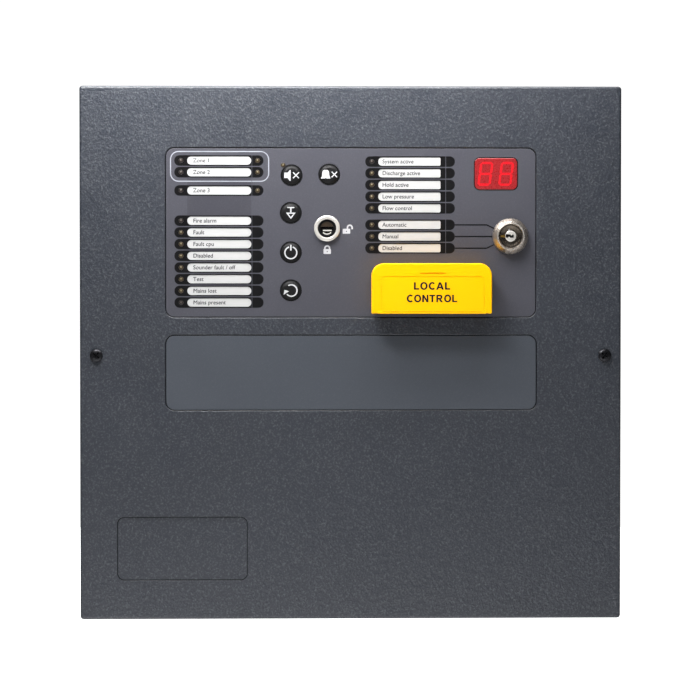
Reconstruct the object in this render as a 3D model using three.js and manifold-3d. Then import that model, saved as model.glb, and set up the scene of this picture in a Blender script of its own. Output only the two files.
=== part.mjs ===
// Wall-mounted fire alarm and extinguishing control panel, with a lift-off front cover.
// Millimetres. Origin at the centre of the back face: +X to the right as seen from the front,
// +Y into the wall, +Z up. The front face looks along -Y.
import * as THREE from 'three';
import { mergeVertices } from 'three/addons/utils/BufferGeometryUtils.js';
import Module from 'manifold-3d';

const wasm = await Module();
wasm.setup();

// ---- Enclosure ----
const PANEL_WIDTH = 325;
const PANEL_HEIGHT = 320;
const PANEL_DEPTH = 88;
const SHEET = 1.2;                // thickness of every folded steel part
const BEND_RADIUS = 1.6;          // outside radius of the folds
const CORNER_RADIUS = 2;
const COVER_FLANGE = 30;          // how far the cover's sides reach back
const BOX_DEPTH = 67;             // the box reaches this far into the cover
const NEST_GAP = 0.5;             // between the cover's sides and the box
const FIT_GAP = 0.3;              // between pieces that stand next to each other
const PRESS_DEPTH = 1;            // of the panels pressed for the overlays
const LABEL_PRESS_DEPTH = 0.6;    // of the small pressed panel at the bottom left
const COVER_SCREW = { x: 152.6, z: -1.5, hole: 2.3, shank: 1.9, head: 3.9 };
const BRACKET = { reach: 15, height: 28, rear: -45 };

// ---- Holes of the box ----
const WALL_HOLE = { x: 120, z: 128, keyRadius: 5, slot: 5.2, drop: 10, lowRadius: 2.4 };
const CABLE_ENTRY = { z: 137, w: 140, h: 28, r: 4 };
const KNOCKOUT = { y: -33, outer: 10.4, inner: 9.6, depth: 0.5 };
const TOP_KNOCKOUTS = [-126, -90, -54, 54, 90, 126];
const BOTTOM_KNOCKOUTS = [-60, 60];

// ---- Front panels: centre x, centre z, width, height, corner radius ----
const CONTROL_PANEL = { x: 0, z: 72.2, w: 222.5, h: 101.8, r: 5.4 };
const BLANK_PANEL = { x: 0.15, z: -11.8, w: 222.9, h: 45.4, r: 5.4 };
const LABEL_PANEL = { x: -101.2, z: -117.4, w: 78.2, h: 38.2, r: 4.2 };
const OVERLAY_THICKNESS = 0.7;
const OVERLAY_EDGE_GAP = 0.3;
const POCKET_DEPTH = 0.35;        // space behind the windows for a card
const CARD_THICKNESS = 0.25;

// ---- Status rows ----
const ROW_PITCH = 7;
const WINDOW_HEIGHT = 5;
const LED_HOLE_RADIUS = 1.6;
const LED_RADIUS = 1.1;
const LED_SLOT_WIDTH = 4.4;       // of the slots in the cover behind the lights
const GUIDE_WIDTH = 5.6;
const GUIDE_END = 3;              // how far a light bar runs past its last light
const ZONE_ROWS = [115.3, 108.3, 97.4];
const STATUS_ROWS = rows(79.3, 8);
const SYSTEM_ROWS = [...rows(114.8, 5), ...rows(76.9, 3)];
const LEFT_ROWS = [...ZONE_ROWS, ...STATUS_ROWS];
const LEFT_WINDOW = { x: -78.95, w: 38.3, r: 2.4 };
const RIGHT_WINDOW = { x: 35, w: 37.4, r: 1.4 };
const LED_COLUMNS = [
  { name: 'light_guide_status', x: -101.8, zs: LEFT_ROWS },
  { name: 'light_guide_zone', x: -56, zs: ZONE_ROWS },
  { name: 'light_guide_system', x: 12.5, zs: SYSTEM_ROWS },
];
const BUZZER_LED = { x: -40.7, z: 112.6 };

// ---- Controls ----
const BUTTONS = {
  button_mute: { x: -35.6, z: 106.5 },
  button_silence: { x: -13.1, z: 107 },
  button_lamp_test: { x: -36.1, z: 84 },
  button_power: { x: -36.1, z: 60.4 },
  button_reset: { x: -36.1, z: 37.6 },
};
const BUTTON_RADIUS = 6.25;
const BUTTON_HOLE_RADIUS = 6.6;
const BUTTON_FLANGE_RADIUS = 7.4;
const BUTTON_STEM_RADIUS = 2.5;
const BUTTON_TRAVEL = 1.2;
const TACT_SWITCH = { size: 6, body: 2.6, height: 3.1, plunger: 1.75 };
const ACCESS_LOCK = { x: -14.4, z: 74.7, head: 7.8, barrel: 6.5, plug: 5.3, hole: 6.9 };
const MODE_LOCK = { x: 95.6, z: 70.1, head: 10.75, barrel: 9.3, plug: 6.85, hole: 9.7 };
const TURN_CLEARANCE = 0.2;       // between a lock plug and its bore
const DISPLAY = { x: 87, z: 107.5, w: 26, h: 19.4, r: 3.3 };

// ---- Manual control with its hinged flap ----
const FLAP = { x: 47.85, bottom: 23.7, w: 72.1, h: 30.5, r: 7.7, wall: 1.8, face: 1.6 };
const FLAP_FACE_Y = -102;
const FLAP_BACK_Y = -88.7;
const FLAP_EAR_RADIUS = 4.2;
const FLAP_LIP = { inset: 3.4, drop: 0.5 };   // the face reaches a little lower between the ears
const FLAP_LABEL = { x: 48.4, z: 35.4, w: 61.7, h: 21.2, r: 2.6, depth: 0.35 };
const FLAP_SLOT = { x: 48.3, z: 47.8, w: 14.9, h: 1.3, r: 0.5, depth: 1 };
const BASE_EAR = { radius: 3, width: 2 };
const FLAP_PIVOT = { y: -96, z: 27.9 };
const PIN_RADIUS = 1.2;
const PIN_HOLE_RADIUS = 1.5;
const RELEASE_BUTTON = { x: 47.85, z: 40.4, r: 8.4, stem: 4, stemHole: 4.4 };

// ---- Boards and what stands on them ----
const BOARD_THICKNESS = 1.6;
const DISPLAY_BOARD = { x: 0, z: 72, w: 224, h: 98, y: -78 };
const MAIN_BOARD = { x: 55, z: 36.5, w: 190, h: 143, y: -11.6 };
const STANDOFF_RADIUS = 3.2;
const BATTERY = { w: 151, d: 65, h: 94 };
const BATTERY_X = BATTERY.w / 2 + 3;
const BATTERY_GAP = 0.6;          // between a battery and the wall of the box
const TERMINAL_TAB = { w: 4.8, d: 0.8, h: 6.5, inset: 12, y: -52 };
const SOCKET = { w: 40, h: 9, depth: 9 };
const SUPPLY = { x: -152, z: -2, w: 99, h: 97, d: 30 };
const LEAD_RADIUS = 1.3;
const LEAD_STEPS = 20;
const RIBBON = { x: 20, w: 33, thickness: 1, displayZ: 85, mainZ: 60 };

// ---- Planes that follow from the sizes above ----
const FACE_Y = -PANEL_DEPTH;
const PRESSED_Y = FACE_Y + PRESS_DEPTH;             // floor of a pressed panel
const COVER_BACK_Y = PRESSED_Y + SHEET;             // inside of that floor
const OVERLAY_Y = PRESSED_Y - OVERLAY_THICKNESS;    // face of an overlay
const BOARD_BACK_Y = DISPLAY_BOARD.y + BOARD_THICKNESS;
const BOX_WIDTH = PANEL_WIDTH - 2 * (SHEET + NEST_GAP);
const BOX_HEIGHT = PANEL_HEIGHT - 2 * (SHEET + NEST_GAP);
const FLOOR_Z = -BOX_HEIGHT / 2 + SHEET;
const BATTERY_TOP = FLOOR_Z + BATTERY.h;
const TAB_TOP = BATTERY_TOP + TERMINAL_TAB.h;

const FINISHES = {
  powder_coat: { color: 0x4b4f57, roughness: 0.55, metalness: 0.1 },
  overlay_film: { color: 0x56565e, roughness: 0.4, metalness: 0 },
  card: { color: 0xf2f2ef, roughness: 0.6, metalness: 0 },
  red_lens: { color: 0x8c1c20, roughness: 0.15, metalness: 0 },
  amber_lens: { color: 0x6b4a1c, roughness: 0.2, metalness: 0 },
  black_plastic: { color: 0x17171a, roughness: 0.4, metalness: 0 },
  battery_case: { color: 0x4a4d52, roughness: 0.6, metalness: 0 },
  grey_plastic: { color: 0x6d7076, roughness: 0.5, metalness: 0 },
  yellow_plastic: { color: 0xffdd00, roughness: 0.35, metalness: 0 },
  red_plastic: { color: 0xb01218, roughness: 0.35, metalness: 0 },
  green_plastic: { color: 0x2f7a3a, roughness: 0.5, metalness: 0 },
  blue_plastic: { color: 0x1f4f9c, roughness: 0.4, metalness: 0 },
  circuit_board: { color: 0x1f5a34, roughness: 0.5, metalness: 0 },
  chrome: { color: 0xd6d6d6, roughness: 0.12, metalness: 1 },
  zinc: { color: 0xb4b7ba, roughness: 0.4, metalness: 1 },
  brass: { color: 0xc7a455, roughness: 0.3, metalness: 1 },
  dark_screw: { color: 0x2a2b2f, roughness: 0.4, metalness: 0.8 },
  cable_red: { color: 0xa8161a, roughness: 0.5, metalness: 0 },
  cable_black: { color: 0x151515, roughness: 0.5, metalness: 0 },
  cable_grey: { color: 0x8e9094, roughness: 0.6, metalness: 0 },
};

const group = new THREE.Group();
const backGroup = new THREE.Group();
const coverGroup = new THREE.Group();
const releaseGroup = new THREE.Group();
group.add(backGroup, coverGroup);
coverGroup.add(releaseGroup);

function rows(first, count) {
  return Array.from({ length: count }, (_, i) => first - i * ROW_PITCH);
}

// ---- Solids ----

function solid(geometry) {
  geometry.deleteAttribute('normal');
  geometry.deleteAttribute('uv');
  const merged = mergeVertices(geometry, 1e-4);
  return new wasm.Manifold(new wasm.Mesh({
    numProp: 3,
    vertProperties: new Float32Array(merged.attributes.position.array),
    triVerts: new Uint32Array(merged.index.array),
  }));
}

function addPart(parent, name, shape, finish, x = 0, y = 0, z = 0) {
  const data = shape.getMesh();
  const geometry = new THREE.BufferGeometry();
  geometry.setAttribute('position', new THREE.BufferAttribute(data.vertProperties, 3));
  geometry.setIndex(new THREE.BufferAttribute(data.triVerts, 1));
  geometry.computeVertexNormals();
  const mesh = new THREE.Mesh(geometry, new THREE.MeshStandardMaterial(FINISHES[finish]));
  mesh.name = name;
  mesh.position.set(x, y, z);
  parent.add(mesh);
}

function block(x0, x1, y0, y1, z0, z1) {
  const geometry = new THREE.BoxGeometry(x1 - x0, y1 - y0, z1 - z0);
  geometry.translate((x0 + x1) / 2, (y0 + y1) / 2, (z0 + z1) / 2);
  return solid(geometry);
}

function blockAt(x, z, w, h, front, back) {
  return block(x - w / 2, x + w / 2, front, back, z - h / 2, z + h / 2);
}

// A straight round pin along Y.
function pinY(x, z, radius, front, back, sides = 16) {
  const geometry = new THREE.CylinderGeometry(radius, radius, back - front, sides);
  geometry.translate(x, (front + back) / 2, z);
  return solid(geometry);
}

function pinX(radius, x0, x1, y, z, sides = 16) {
  const geometry = new THREE.CylinderGeometry(radius, radius, x1 - x0, sides);
  geometry.rotateZ(Math.PI / 2);
  geometry.translate((x0 + x1) / 2, y, z);
  return solid(geometry);
}

function pinZ(x, y, radius, z0, z1, sides = 16) {
  const geometry = new THREE.CylinderGeometry(radius, radius, z1 - z0, sides);
  geometry.rotateX(Math.PI / 2);
  geometry.translate(x, y, (z0 + z1) / 2);
  return solid(geometry);
}

// A shape turned about Y. The profile runs from the rear of the axis to its front, as [radius, y].
function turned(profile, sides = 24) {
  const points = profile.map(([r, y]) => new THREE.Vector2(r, y));
  return solid(new THREE.LatheGeometry(points.reverse(), sides));
}

// A rectangle with its own radius for the top and the bottom corners, centred on (x, z).
function outline(x, z, w, h, topRadius, bottomRadius = topRadius) {
  const shape = new THREE.Shape();
  const [left, right, low, high] = [x - w / 2, x + w / 2, z - h / 2, z + h / 2];
  const quarter = Math.PI / 2;
  shape.moveTo(left + bottomRadius, low);
  shape.lineTo(right - bottomRadius, low);
  if (bottomRadius) shape.absarc(right - bottomRadius, low + bottomRadius, bottomRadius, -quarter, 0);
  shape.lineTo(right, high - topRadius);
  if (topRadius) shape.absarc(right - topRadius, high - topRadius, topRadius, 0, quarter);
  shape.lineTo(left + topRadius, high);
  if (topRadius) shape.absarc(left + topRadius, high - topRadius, topRadius, quarter, 2 * quarter);
  shape.lineTo(left, low + bottomRadius);
  if (bottomRadius) {
    shape.absarc(left + bottomRadius, low + bottomRadius, bottomRadius, 2 * quarter, 3 * quarter);
  }
  return shape;
}

// A flat shape drawn in X and Z, and extruded along Y from front to back. A rounded corner
// gets twice as many steps as curveSegments says.
function plate(shape, front, back, curveSegments = 2) {
  const geometry = new THREE.ExtrudeGeometry(shape, {
    depth: back - front, bevelEnabled: false, curveSegments,
  });
  geometry.rotateX(Math.PI / 2);
  geometry.translate(0, back, 0);
  return solid(geometry);
}

// A shape drawn in Y and Z, and extruded along X.
function strip(points, x0, x1) {
  const shape = new THREE.Shape(points.map(([y, z]) => new THREE.Vector2(y, z)));
  const geometry = new THREE.ExtrudeGeometry(shape, { depth: x1 - x0, bevelEnabled: false });
  geometry.rotateX(Math.PI / 2);
  geometry.rotateZ(Math.PI / 2);
  geometry.translate(x0, 0, 0);
  return solid(geometry);
}

// A round wire through the given points, with eight sides.
function wire(points, radius, steps) {
  const path = new THREE.CatmullRomCurve3(points.map(([x, y, z]) => new THREE.Vector3(x, y, z)));
  const section = new THREE.Shape();
  section.absarc(0, 0, radius, 0, 2 * Math.PI);
  return solid(new THREE.ExtrudeGeometry(section, { steps, extrudePath: path, curveSegments: 4 }));
}

function union(shapes) {
  return shapes.reduce((total, shape) => total.add(shape));
}

function cut(shape, tools) {
  return tools.reduce((rest, tool) => rest.subtract(tool), shape);
}

function mirrorPairs(x, z) {
  return [[-x, z], [x, z], [-x, -z], [x, -z]];
}

// ---- Enclosure parts ----

// A tray folded from sheet, closed at closedY and open at openY.
function tray(width, height, closedY, openY) {
  const bevel = BEND_RADIUS / 2;
  const inward = Math.sign(openY - closedY);
  const ends = [closedY, openY + inward * 2 * bevel];
  const [front, back] = [Math.min(...ends), Math.max(...ends)];
  const shape = outline(0, 0, width - 2 * bevel, height - 2 * bevel, CORNER_RADIUS - bevel);
  const geometry = new THREE.ExtrudeGeometry(shape, {
    depth: back - front - 2 * bevel,
    bevelSize: bevel,
    bevelThickness: bevel,
    bevelSegments: 2,
    curveSegments: 1,
  });
  geometry.rotateX(Math.PI / 2);
  geometry.translate(0, back - bevel, 0);
  const inside = [closedY + inward * SHEET, openY + inward * 3 * bevel].sort((a, b) => a - b);
  const beyond = [openY, openY + inward * 3 * bevel].sort((a, b) => a - b);
  const inner = outline(0, 0, width - 2 * SHEET, height - 2 * SHEET, CORNER_RADIUS - SHEET);
  return cut(solid(geometry), [
    plate(inner, ...inside, 1),
    block(-width, width, ...beyond, -height, height),
  ]);
}

function panelOutline({ x, z, w, h, r }, inset = 0) {
  return outline(x, z, w - 2 * inset, h - 2 * inset, r - inset);
}

// The panel's holes, cut alike in the cover's floor and in the overlay.
function controlHoles(front, back) {
  return [
    ...Object.values(BUTTONS).map(({ x, z }) => pinY(x, z, BUTTON_HOLE_RADIUS, front, back)),
    pinY(ACCESS_LOCK.x, ACCESS_LOCK.z, ACCESS_LOCK.hole, front, back, 20),
    pinY(MODE_LOCK.x, MODE_LOCK.z, MODE_LOCK.hole, front, back, 24),
    pinY(RELEASE_BUTTON.x, RELEASE_BUTTON.z, RELEASE_BUTTON.stemHole, front, back),
    plate(panelOutline(DISPLAY, -OVERLAY_EDGE_GAP), front, back),
  ];
}

function frontCover() {
  let cover = tray(PANEL_WIDTH, PANEL_HEIGHT, FACE_Y, FACE_Y + COVER_FLANGE);
  const pressed = [
    [CONTROL_PANEL, PRESS_DEPTH],
    [BLANK_PANEL, PRESS_DEPTH],
    [LABEL_PANEL, LABEL_PRESS_DEPTH],
  ];
  for (const [panel, depth] of pressed) {
    cover = cover.add(plate(panelOutline(panel, -SHEET), FACE_Y + SHEET / 2, FACE_Y + depth + SHEET));
    cover = cover.subtract(plate(panelOutline(panel), FACE_Y - SHEET, FACE_Y + depth));
  }
  const [front, deep] = [FACE_Y, COVER_BACK_Y + SHEET];
  const slots = LED_COLUMNS.map(({ x, zs }) => {
    const { middle, length } = span(zs);
    return blockAt(x, middle, LED_SLOT_WIDTH, length + LED_SLOT_WIDTH, front, deep);
  });
  const buzzerHole = pinY(BUZZER_LED.x, BUZZER_LED.z, LED_HOLE_RADIUS, front, deep, 8);
  const screwHoles = [-COVER_SCREW.x, COVER_SCREW.x].map((x) =>
    pinY(x, COVER_SCREW.z, COVER_SCREW.hole, front - SHEET, deep));
  return cut(cover, [...controlHoles(front, deep), ...slots, buzzerHole, ...screwHoles]);
}

// The middle of a column of rows, and the length from its first row to its last.
function span(zs) {
  const [low, high] = [Math.min(...zs), Math.max(...zs)];
  return { middle: (low + high) / 2, length: high - low };
}

function controlOverlay() {
  const [front, back] = [OVERLAY_Y - 1, PRESSED_Y + 1];
  const sheet = plate(panelOutline(CONTROL_PANEL, OVERLAY_EDGE_GAP), OVERLAY_Y, PRESSED_Y);
  const windows = [[LEFT_WINDOW, LEFT_ROWS], [RIGHT_WINDOW, SYSTEM_ROWS]].flatMap(([{ x, w, r }, zs]) =>
    zs.map((z) => plate(outline(x, z, w, WINDOW_HEIGHT, r), front, back, 1)));
  const lights = LED_COLUMNS.flatMap(({ x, zs }) => zs.map((z) => [x, z]));
  const lightHoles = [...lights, [BUZZER_LED.x, BUZZER_LED.z]].map(([x, z]) =>
    pinY(x, z, LED_HOLE_RADIUS, front, back, 6));
  const pockets = legendCards().map(({ x, z, w, h }) => {
    const [pocketWidth, pocketHeight] = [w + 2 * OVERLAY_EDGE_GAP, h + 2 * OVERLAY_EDGE_GAP];
    return blockAt(x, z, pocketWidth, pocketHeight, PRESSED_Y - POCKET_DEPTH, back);
  });
  return cut(sheet, [...windows, ...lightHoles, ...pockets, ...controlHoles(front, back)]);
}

// The cards behind the windows reach 1 mm past them all round.
function legendCards() {
  const columns = [['left', LEFT_WINDOW, LEFT_ROWS], ['right', RIGHT_WINDOW, SYSTEM_ROWS]];
  return columns.map(([side, window, zs]) => {
    const { middle, length } = span(zs);
    const name = `legend_card_${side}`;
    return { name, x: window.x, z: middle, w: window.w + 2, h: length + WINDOW_HEIGHT + 2 };
  });
}

// A clear bar behind the cover, with a light window in front of each lamp.
function lightGuide({ x, zs }) {
  const { middle, length } = span(zs);
  const [front, back] = [COVER_BACK_Y + FIT_GAP, DISPLAY_BOARD.y - FIT_GAP];
  const bar = blockAt(x, middle, GUIDE_WIDTH, length + 2 * GUIDE_END, front, back);
  return union([bar, ...zs.map((z) => pinY(x, z, LED_RADIUS, OVERLAY_Y, front + 1, 6))]);
}

function backBox() {
  const box = tray(BOX_WIDTH, BOX_HEIGHT, 0, -BOX_DEPTH);
  const [front, back] = [-2 * SHEET, SHEET];
  const { x, z, keyRadius, slot, drop, lowRadius } = WALL_HOLE;
  const fixings = [-x, x].flatMap((side) => [
    pinY(side, z, keyRadius, front, back),
    blockAt(side, z + drop / 2, slot, drop, front, back),
    pinY(side, z + drop, slot / 2, front, back, 12),
    pinY(side, -z, lowRadius, front, back, 12),
  ]);
  const { z: entryZ, w, h, r } = CABLE_ENTRY;
  const cableEntry = plate(outline(0, entryZ, w, h, r), front, back);
  return cut(box, [
    ...fixings,
    cableEntry,
    ...TOP_KNOCKOUTS.map((place) => knockoutGroove(place, BOX_HEIGHT / 2)),
    ...BOTTOM_KNOCKOUTS.map((place) => knockoutGroove(place, -BOX_HEIGHT / 2)),
  ]);
}

// The round groove of a disc that is punched out to pass a cable gland.
function knockoutGroove(x, face) {
  const { y, outer, inner, depth } = KNOCKOUT;
  const [low, high] = [face - depth, face + depth];
  return pinZ(x, y, outer, low, high, 14).subtract(pinZ(x, y, inner, low - 1, high + 1, 14));
}

function screwBracket(side) {
  const { reach, height, rear } = BRACKET;
  const wall = BOX_WIDTH / 2 - SHEET - FIT_GAP;
  const front = COVER_BACK_Y - 0.7;
  const leg = block(wall - SHEET, wall, front, rear, -height / 2, height / 2);
  const face = block(wall - reach, wall, front, front + SHEET, -height / 2, height / 2);
  const hole = pinY(COVER_SCREW.x, 0, COVER_SCREW.hole, front - 1, front + 2 * SHEET);
  const bracket = cut(union([leg, face]), [hole]);
  return side > 0 ? bracket : bracket.mirror([1, 0, 0]);
}

function coverScrew() {
  const { shank, head: rim } = COVER_SCREW;
  const profile = [[0, 9], [shank, 9], [shank, 0], [rim, 0], [rim, -1], [rim - 0.8, -1.9], [0, -2.3]];
  const cross = [blockAt(0, 0, 4.2, 1, -3, -1.1), blockAt(0, 0, 1, 4.2, -3, -1.1)];
  return cut(turned(profile, 16), cross);
}

// ---- Boards, supply and batteries ----

function displayBoard() {
  const { x, z, w, h, y } = DISPLAY_BOARD;
  const board = blockAt(x, z, w, h, y, BOARD_BACK_Y);
  const holes = [ACCESS_LOCK, MODE_LOCK].map((lock) =>
    pinY(lock.x, lock.z, lock.barrel + 0.8, y - 1, BOARD_BACK_Y + 1, 24));
  const { size, body, height, plunger } = TACT_SWITCH;
  const switches = Object.values(BUTTONS).flatMap((place) => [
    blockAt(place.x, place.z, size, size, y - body, y + 0.2),
    pinY(place.x, place.z, plunger, y - height, y, 8),
  ]);
  const chips = [[-40, 98, 18, 12], [-90, 98, 12, 8], [60, 92, 14, 10]].map(([cx, cz, cw, ch]) =>
    blockAt(cx, cz, cw, ch, y + 1, BOARD_BACK_Y + 2));
  const socket = ribbonSocket(RIBBON.displayZ, y + 1, BOARD_BACK_Y + SOCKET.depth);
  return cut(union([board, ...switches, ...chips, socket]), holes);
}

function ribbonSocket(z, y0, y1) {
  return blockAt(RIBBON.x, z, SOCKET.w, SOCKET.h, y0, y1);
}

// The soldered parts of the main board: x and z from its middle, width, height, how far it stands out.
const MAIN_BOARD_PARTS = [
  [5, -5, 24, 24, 1.8],
  [45, -12, 14, 10, 2],
  [-40, -20, 18, 12, 2],
  [-88, -16.5, 10, 16, 10],
  [-77, -65.5, 22, 11, 10],
  [-30, -61.5, 6, 16, 8],
  [-16, -61.5, 6, 16, 8],
  [-2, -61.5, 6, 16, 8],
  [12, -61.5, 6, 16, 8],
];
const CAPACITOR = { x: 60, firstZ: -57.5, pitch: 14, count: 3, r: 5, height: 16 };

function mainBoard() {
  const { x, z, w, h, y } = MAIN_BOARD;
  const sunk = y + 0.5;
  const parts = MAIN_BOARD_PARTS.map(([dx, dz, pw, ph, height]) =>
    blockAt(x + dx, z + dz, pw, ph, y - height, sunk));
  const capacitors = Array.from({ length: CAPACITOR.count }, (_, i) => {
    const place = z + CAPACITOR.firstZ + i * CAPACITOR.pitch;
    return pinY(x + CAPACITOR.x, place, CAPACITOR.r, y - CAPACITOR.height, sunk, 12);
  });
  const board = blockAt(x, z, w, h, y, y + BOARD_THICKNESS);
  return union([board, ...parts, ...capacitors, ribbonSocket(RIBBON.mainZ, y - SOCKET.depth, sunk)]);
}

function hexStandoff(length) {
  return pinY(0, 0, STANDOFF_RADIUS, 0, length, 6);
}

// A row of rising-clamp terminals, with a screw and a wire entry for each.
function terminalBlock(count, pitch, depth) {
  const [w, h] = [count * pitch, 11];
  const profile = [[0, -h / 2], [0, h / 2], [-depth * 0.6, h / 2], [-depth, h / 4], [-depth, -h / 2]];
  const places = Array.from({ length: count }, (_, i) => (i - (count - 1) / 2) * pitch);
  const screws = places.map((x) => pinY(x, -1, 1.7, -depth - 1, -depth + 2, 6));
  const entryY = -depth * 0.5;
  const entries = places.map((x) => block(x - 1.6, x + 1.6, entryY, entryY + 4, h / 2 - 3, h / 2 + 1));
  return cut(strip(profile, -w / 2, w / 2), [...screws, ...entries]);
}

function powerSupply() {
  const { w, h, d } = SUPPLY;
  const cage = block(0, w, -d, 0, 0, h);
  const [margin, slotHeight, slotPitch, slotDepth] = [14, 3.5, 8, 0.8];
  const slots = Array.from({ length: 8 }, (_, i) => {
    const low = 16 + i * slotPitch;
    return block(margin, w - margin, -d - 1, -d + slotDepth, low, low + slotHeight);
  });
  const terminalRecess = block(8, w - 8, -d - 1, -12, -1, 10);
  return cut(cage, [...slots, terminalRecess]);
}

function battery() {
  const { w, d, h } = BATTERY;
  const [grooveDepth, grooveZ] = [0.6, h - 20];
  const body = block(-w / 2, w / 2, -d, 0, 0, h);
  const core = block(grooveDepth - w / 2, w / 2 - grooveDepth, grooveDepth - d, -grooveDepth, 0, h);
  const lidGroove = cut(block(-w, w, -2 * d, d, grooveZ, grooveZ + 1), [core]);
  const { w: tabWidth, d: tabDepth, h: tabHeight, inset, y } = TERMINAL_TAB;
  const tabs = [inset - w / 2, w / 2 - inset].map((x) =>
    block(x - tabWidth / 2, x + tabWidth / 2, y, y + tabDepth, h - 1, h + tabHeight));
  return union([cut(body, [lidGroove]), ...tabs]);
}

function batteryBar() {
  const half = BOX_WIDTH / 2 - SHEET - NEST_GAP;
  const [front, rear, low, high] = [-BOX_DEPTH - 1.6, -48, -86, -70];
  return union([
    block(-half, half, front, front + SHEET, low, high),
    block(-half, SHEET - half, front, rear, low, high),
    block(half - SHEET, half, front, rear, low, high),
  ]);
}

function earthStud() {
  const [washer, nut, stud] = [5.5, 4.6, 2.5];
  return turned([
    [0, 0], [washer, 0], [washer, -1], [nut, -1], [nut, -4.5], [stud, -4.5], [stud, -15], [0, -15.6],
  ], 12);
}

function buzzer() {
  return turned([[0, 7], [1.5, 7], [1.5, 8.7], [10.8, 8.7], [11.5, 8], [11.5, 0], [0, 0]]);
}

// ---- Locks, buttons and the manual control ----

// A lock barrel with a round head: a cup that is open at the front for its plug.
function lockBody({ head, barrel, plug }, headHeight, length, bevel) {
  const bore = plug + TURN_CLEARANCE;
  const lip = bore + 0.9;
  return turned([
    [0, length], [barrel, length], [barrel, 0], [head, 0], [head, bevel - headHeight],
    [lip, -headHeight], [bore, -headHeight], [bore, length - 1.6], [0, length - 1.6],
  ]);
}

function lockNut({ barrel }, acrossFlats, thickness) {
  const radius = acrossFlats / Math.sqrt(3);
  const bore = pinY(0, 0, barrel + FIT_GAP, -1, thickness + 1, 24);
  return pinY(0, 0, radius, 0, thickness, 6).subtract(bore);
}

function accessPlug() {
  const { plug } = ACCESS_LOCK;
  const body = turned([[0, 19.7], [plug, 19.7], [plug, -0.8], [plug - 0.6, -1.2], [0, -1.2]]);
  return cut(body, [blockAt(0, 0, 7, 1.4, -2, 3)]);
}

function modePlug() {
  const { plug } = MODE_LOCK;
  const bullet = 3.2;
  const body = turned([[0, 26], [plug, 26], [plug, -3.4], [bullet + 0.3, -3.4], [bullet, -4.1], [0, -4.4]]);
  return cut(body, [blockAt(0, 0, 4.6, 1.5, -5, 2)]);
}

// A cap with a flange behind the cover, and a stem that presses the switch on the board.
function buttonCap() {
  const flange = COVER_BACK_Y + FIT_GAP - OVERLAY_Y;
  const flangeBack = flange + 0.9;
  const stemEnd = DISPLAY_BOARD.y - TACT_SWITCH.height - BUTTON_TRAVEL - FIT_GAP - OVERLAY_Y;
  return turned([
    [0, stemEnd], [BUTTON_STEM_RADIUS, stemEnd], [BUTTON_STEM_RADIUS, flangeBack],
    [BUTTON_FLANGE_RADIUS, flangeBack], [BUTTON_FLANGE_RADIUS, flange], [BUTTON_RADIUS, flange],
    [BUTTON_RADIUS, -1.3], [BUTTON_RADIUS - 0.85, -1.8], [0, -2],
  ], 20);
}

function releaseFlap() {
  const { x, bottom, w, h, r, wall, face } = FLAP;
  const shellZ = bottom + h / 2;
  const inner = outline(x, shellZ - wall / 2 - 5, w - 2 * wall, h - wall + 10, r - wall, 0);
  const innerFace = FLAP_FACE_Y + face;
  let flap = plate(outline(x, shellZ, w, h, r, 0), FLAP_FACE_Y, FLAP_BACK_Y, 3);
  flap = flap.subtract(plate(inner, innerFace, FLAP_BACK_Y + 1, 3));
  flap = flap.subtract(block(x - w, x + w, innerFace, FLAP_BACK_Y + 1, bottom - 1, FLAP_PIVOT.z));
  const sides = [[x - w / 2, x - w / 2 + wall], [x + w / 2 - wall, x + w / 2]];
  const ears = sides.map(([x0, x1]) => pinX(FLAP_EAR_RADIUS, x0, x1, FLAP_PIVOT.y, FLAP_PIVOT.z));
  const lipHalf = w / 2 - FLAP_LIP.inset;
  const lip = block(x - lipHalf, x + lipHalf, FLAP_FACE_Y, innerFace, bottom - FLAP_LIP.drop, bottom + 1);
  flap = union([flap, ...ears, lip]);
  return cut(flap, [
    pinX(PIN_HOLE_RADIUS, x - w, x + w, FLAP_PIVOT.y, FLAP_PIVOT.z, 12),
    plate(panelOutline(FLAP_LABEL), FLAP_FACE_Y - 1, FLAP_FACE_Y + FLAP_LABEL.depth),
    plate(panelOutline(FLAP_SLOT), FLAP_FACE_Y - 1, FLAP_FACE_Y + FLAP_SLOT.depth),
  ]);
}

function releaseBase() {
  const { x, w, wall } = FLAP;
  const half = w / 2 - wall - 0.6;
  const [plateFront, bezelFront] = [OVERLAY_Y - 2, OVERLAY_Y - 6.3];
  const backPlate = plate(outline(x, 38, 2 * half, 27, 6, 1), plateFront, OVERLAY_Y);
  const { radius, width } = BASE_EAR;
  const { y: pivotY, z: pivotZ } = FLAP_PIVOT;
  const ears = [x - half, x + half - width].flatMap((x0) => [
    block(x0, x0 + width, pivotY, plateFront + 0.5, pivotZ - radius, pivotZ + radius),
    pinX(radius, x0, x0 + width, pivotY, pivotZ),
  ]);
  const { z, r, stemHole } = RELEASE_BUTTON;
  const bezel = pinY(x, z, r + 1.8, bezelFront, plateFront + 0.5, 24);
  return cut(union([backPlate, ...ears, bezel]), [
    pinX(PIN_HOLE_RADIUS, x - w, x + w, FLAP_PIVOT.y, FLAP_PIVOT.z, 12),
    pinY(x, z, r + 0.4, bezelFront - 1, plateFront, 24),
    pinY(x, z, stemHole, plateFront - 1, OVERLAY_Y + 1),
  ]);
}

function releaseButton() {
  const { r, stem } = RELEASE_BUTTON;
  return turned([[0, 1.5], [stem, 1.5], [stem, -5.5], [r, -5.5], [r, -8.6], [r - 0.8, -9.3], [0, -9.5]]);
}

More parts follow.
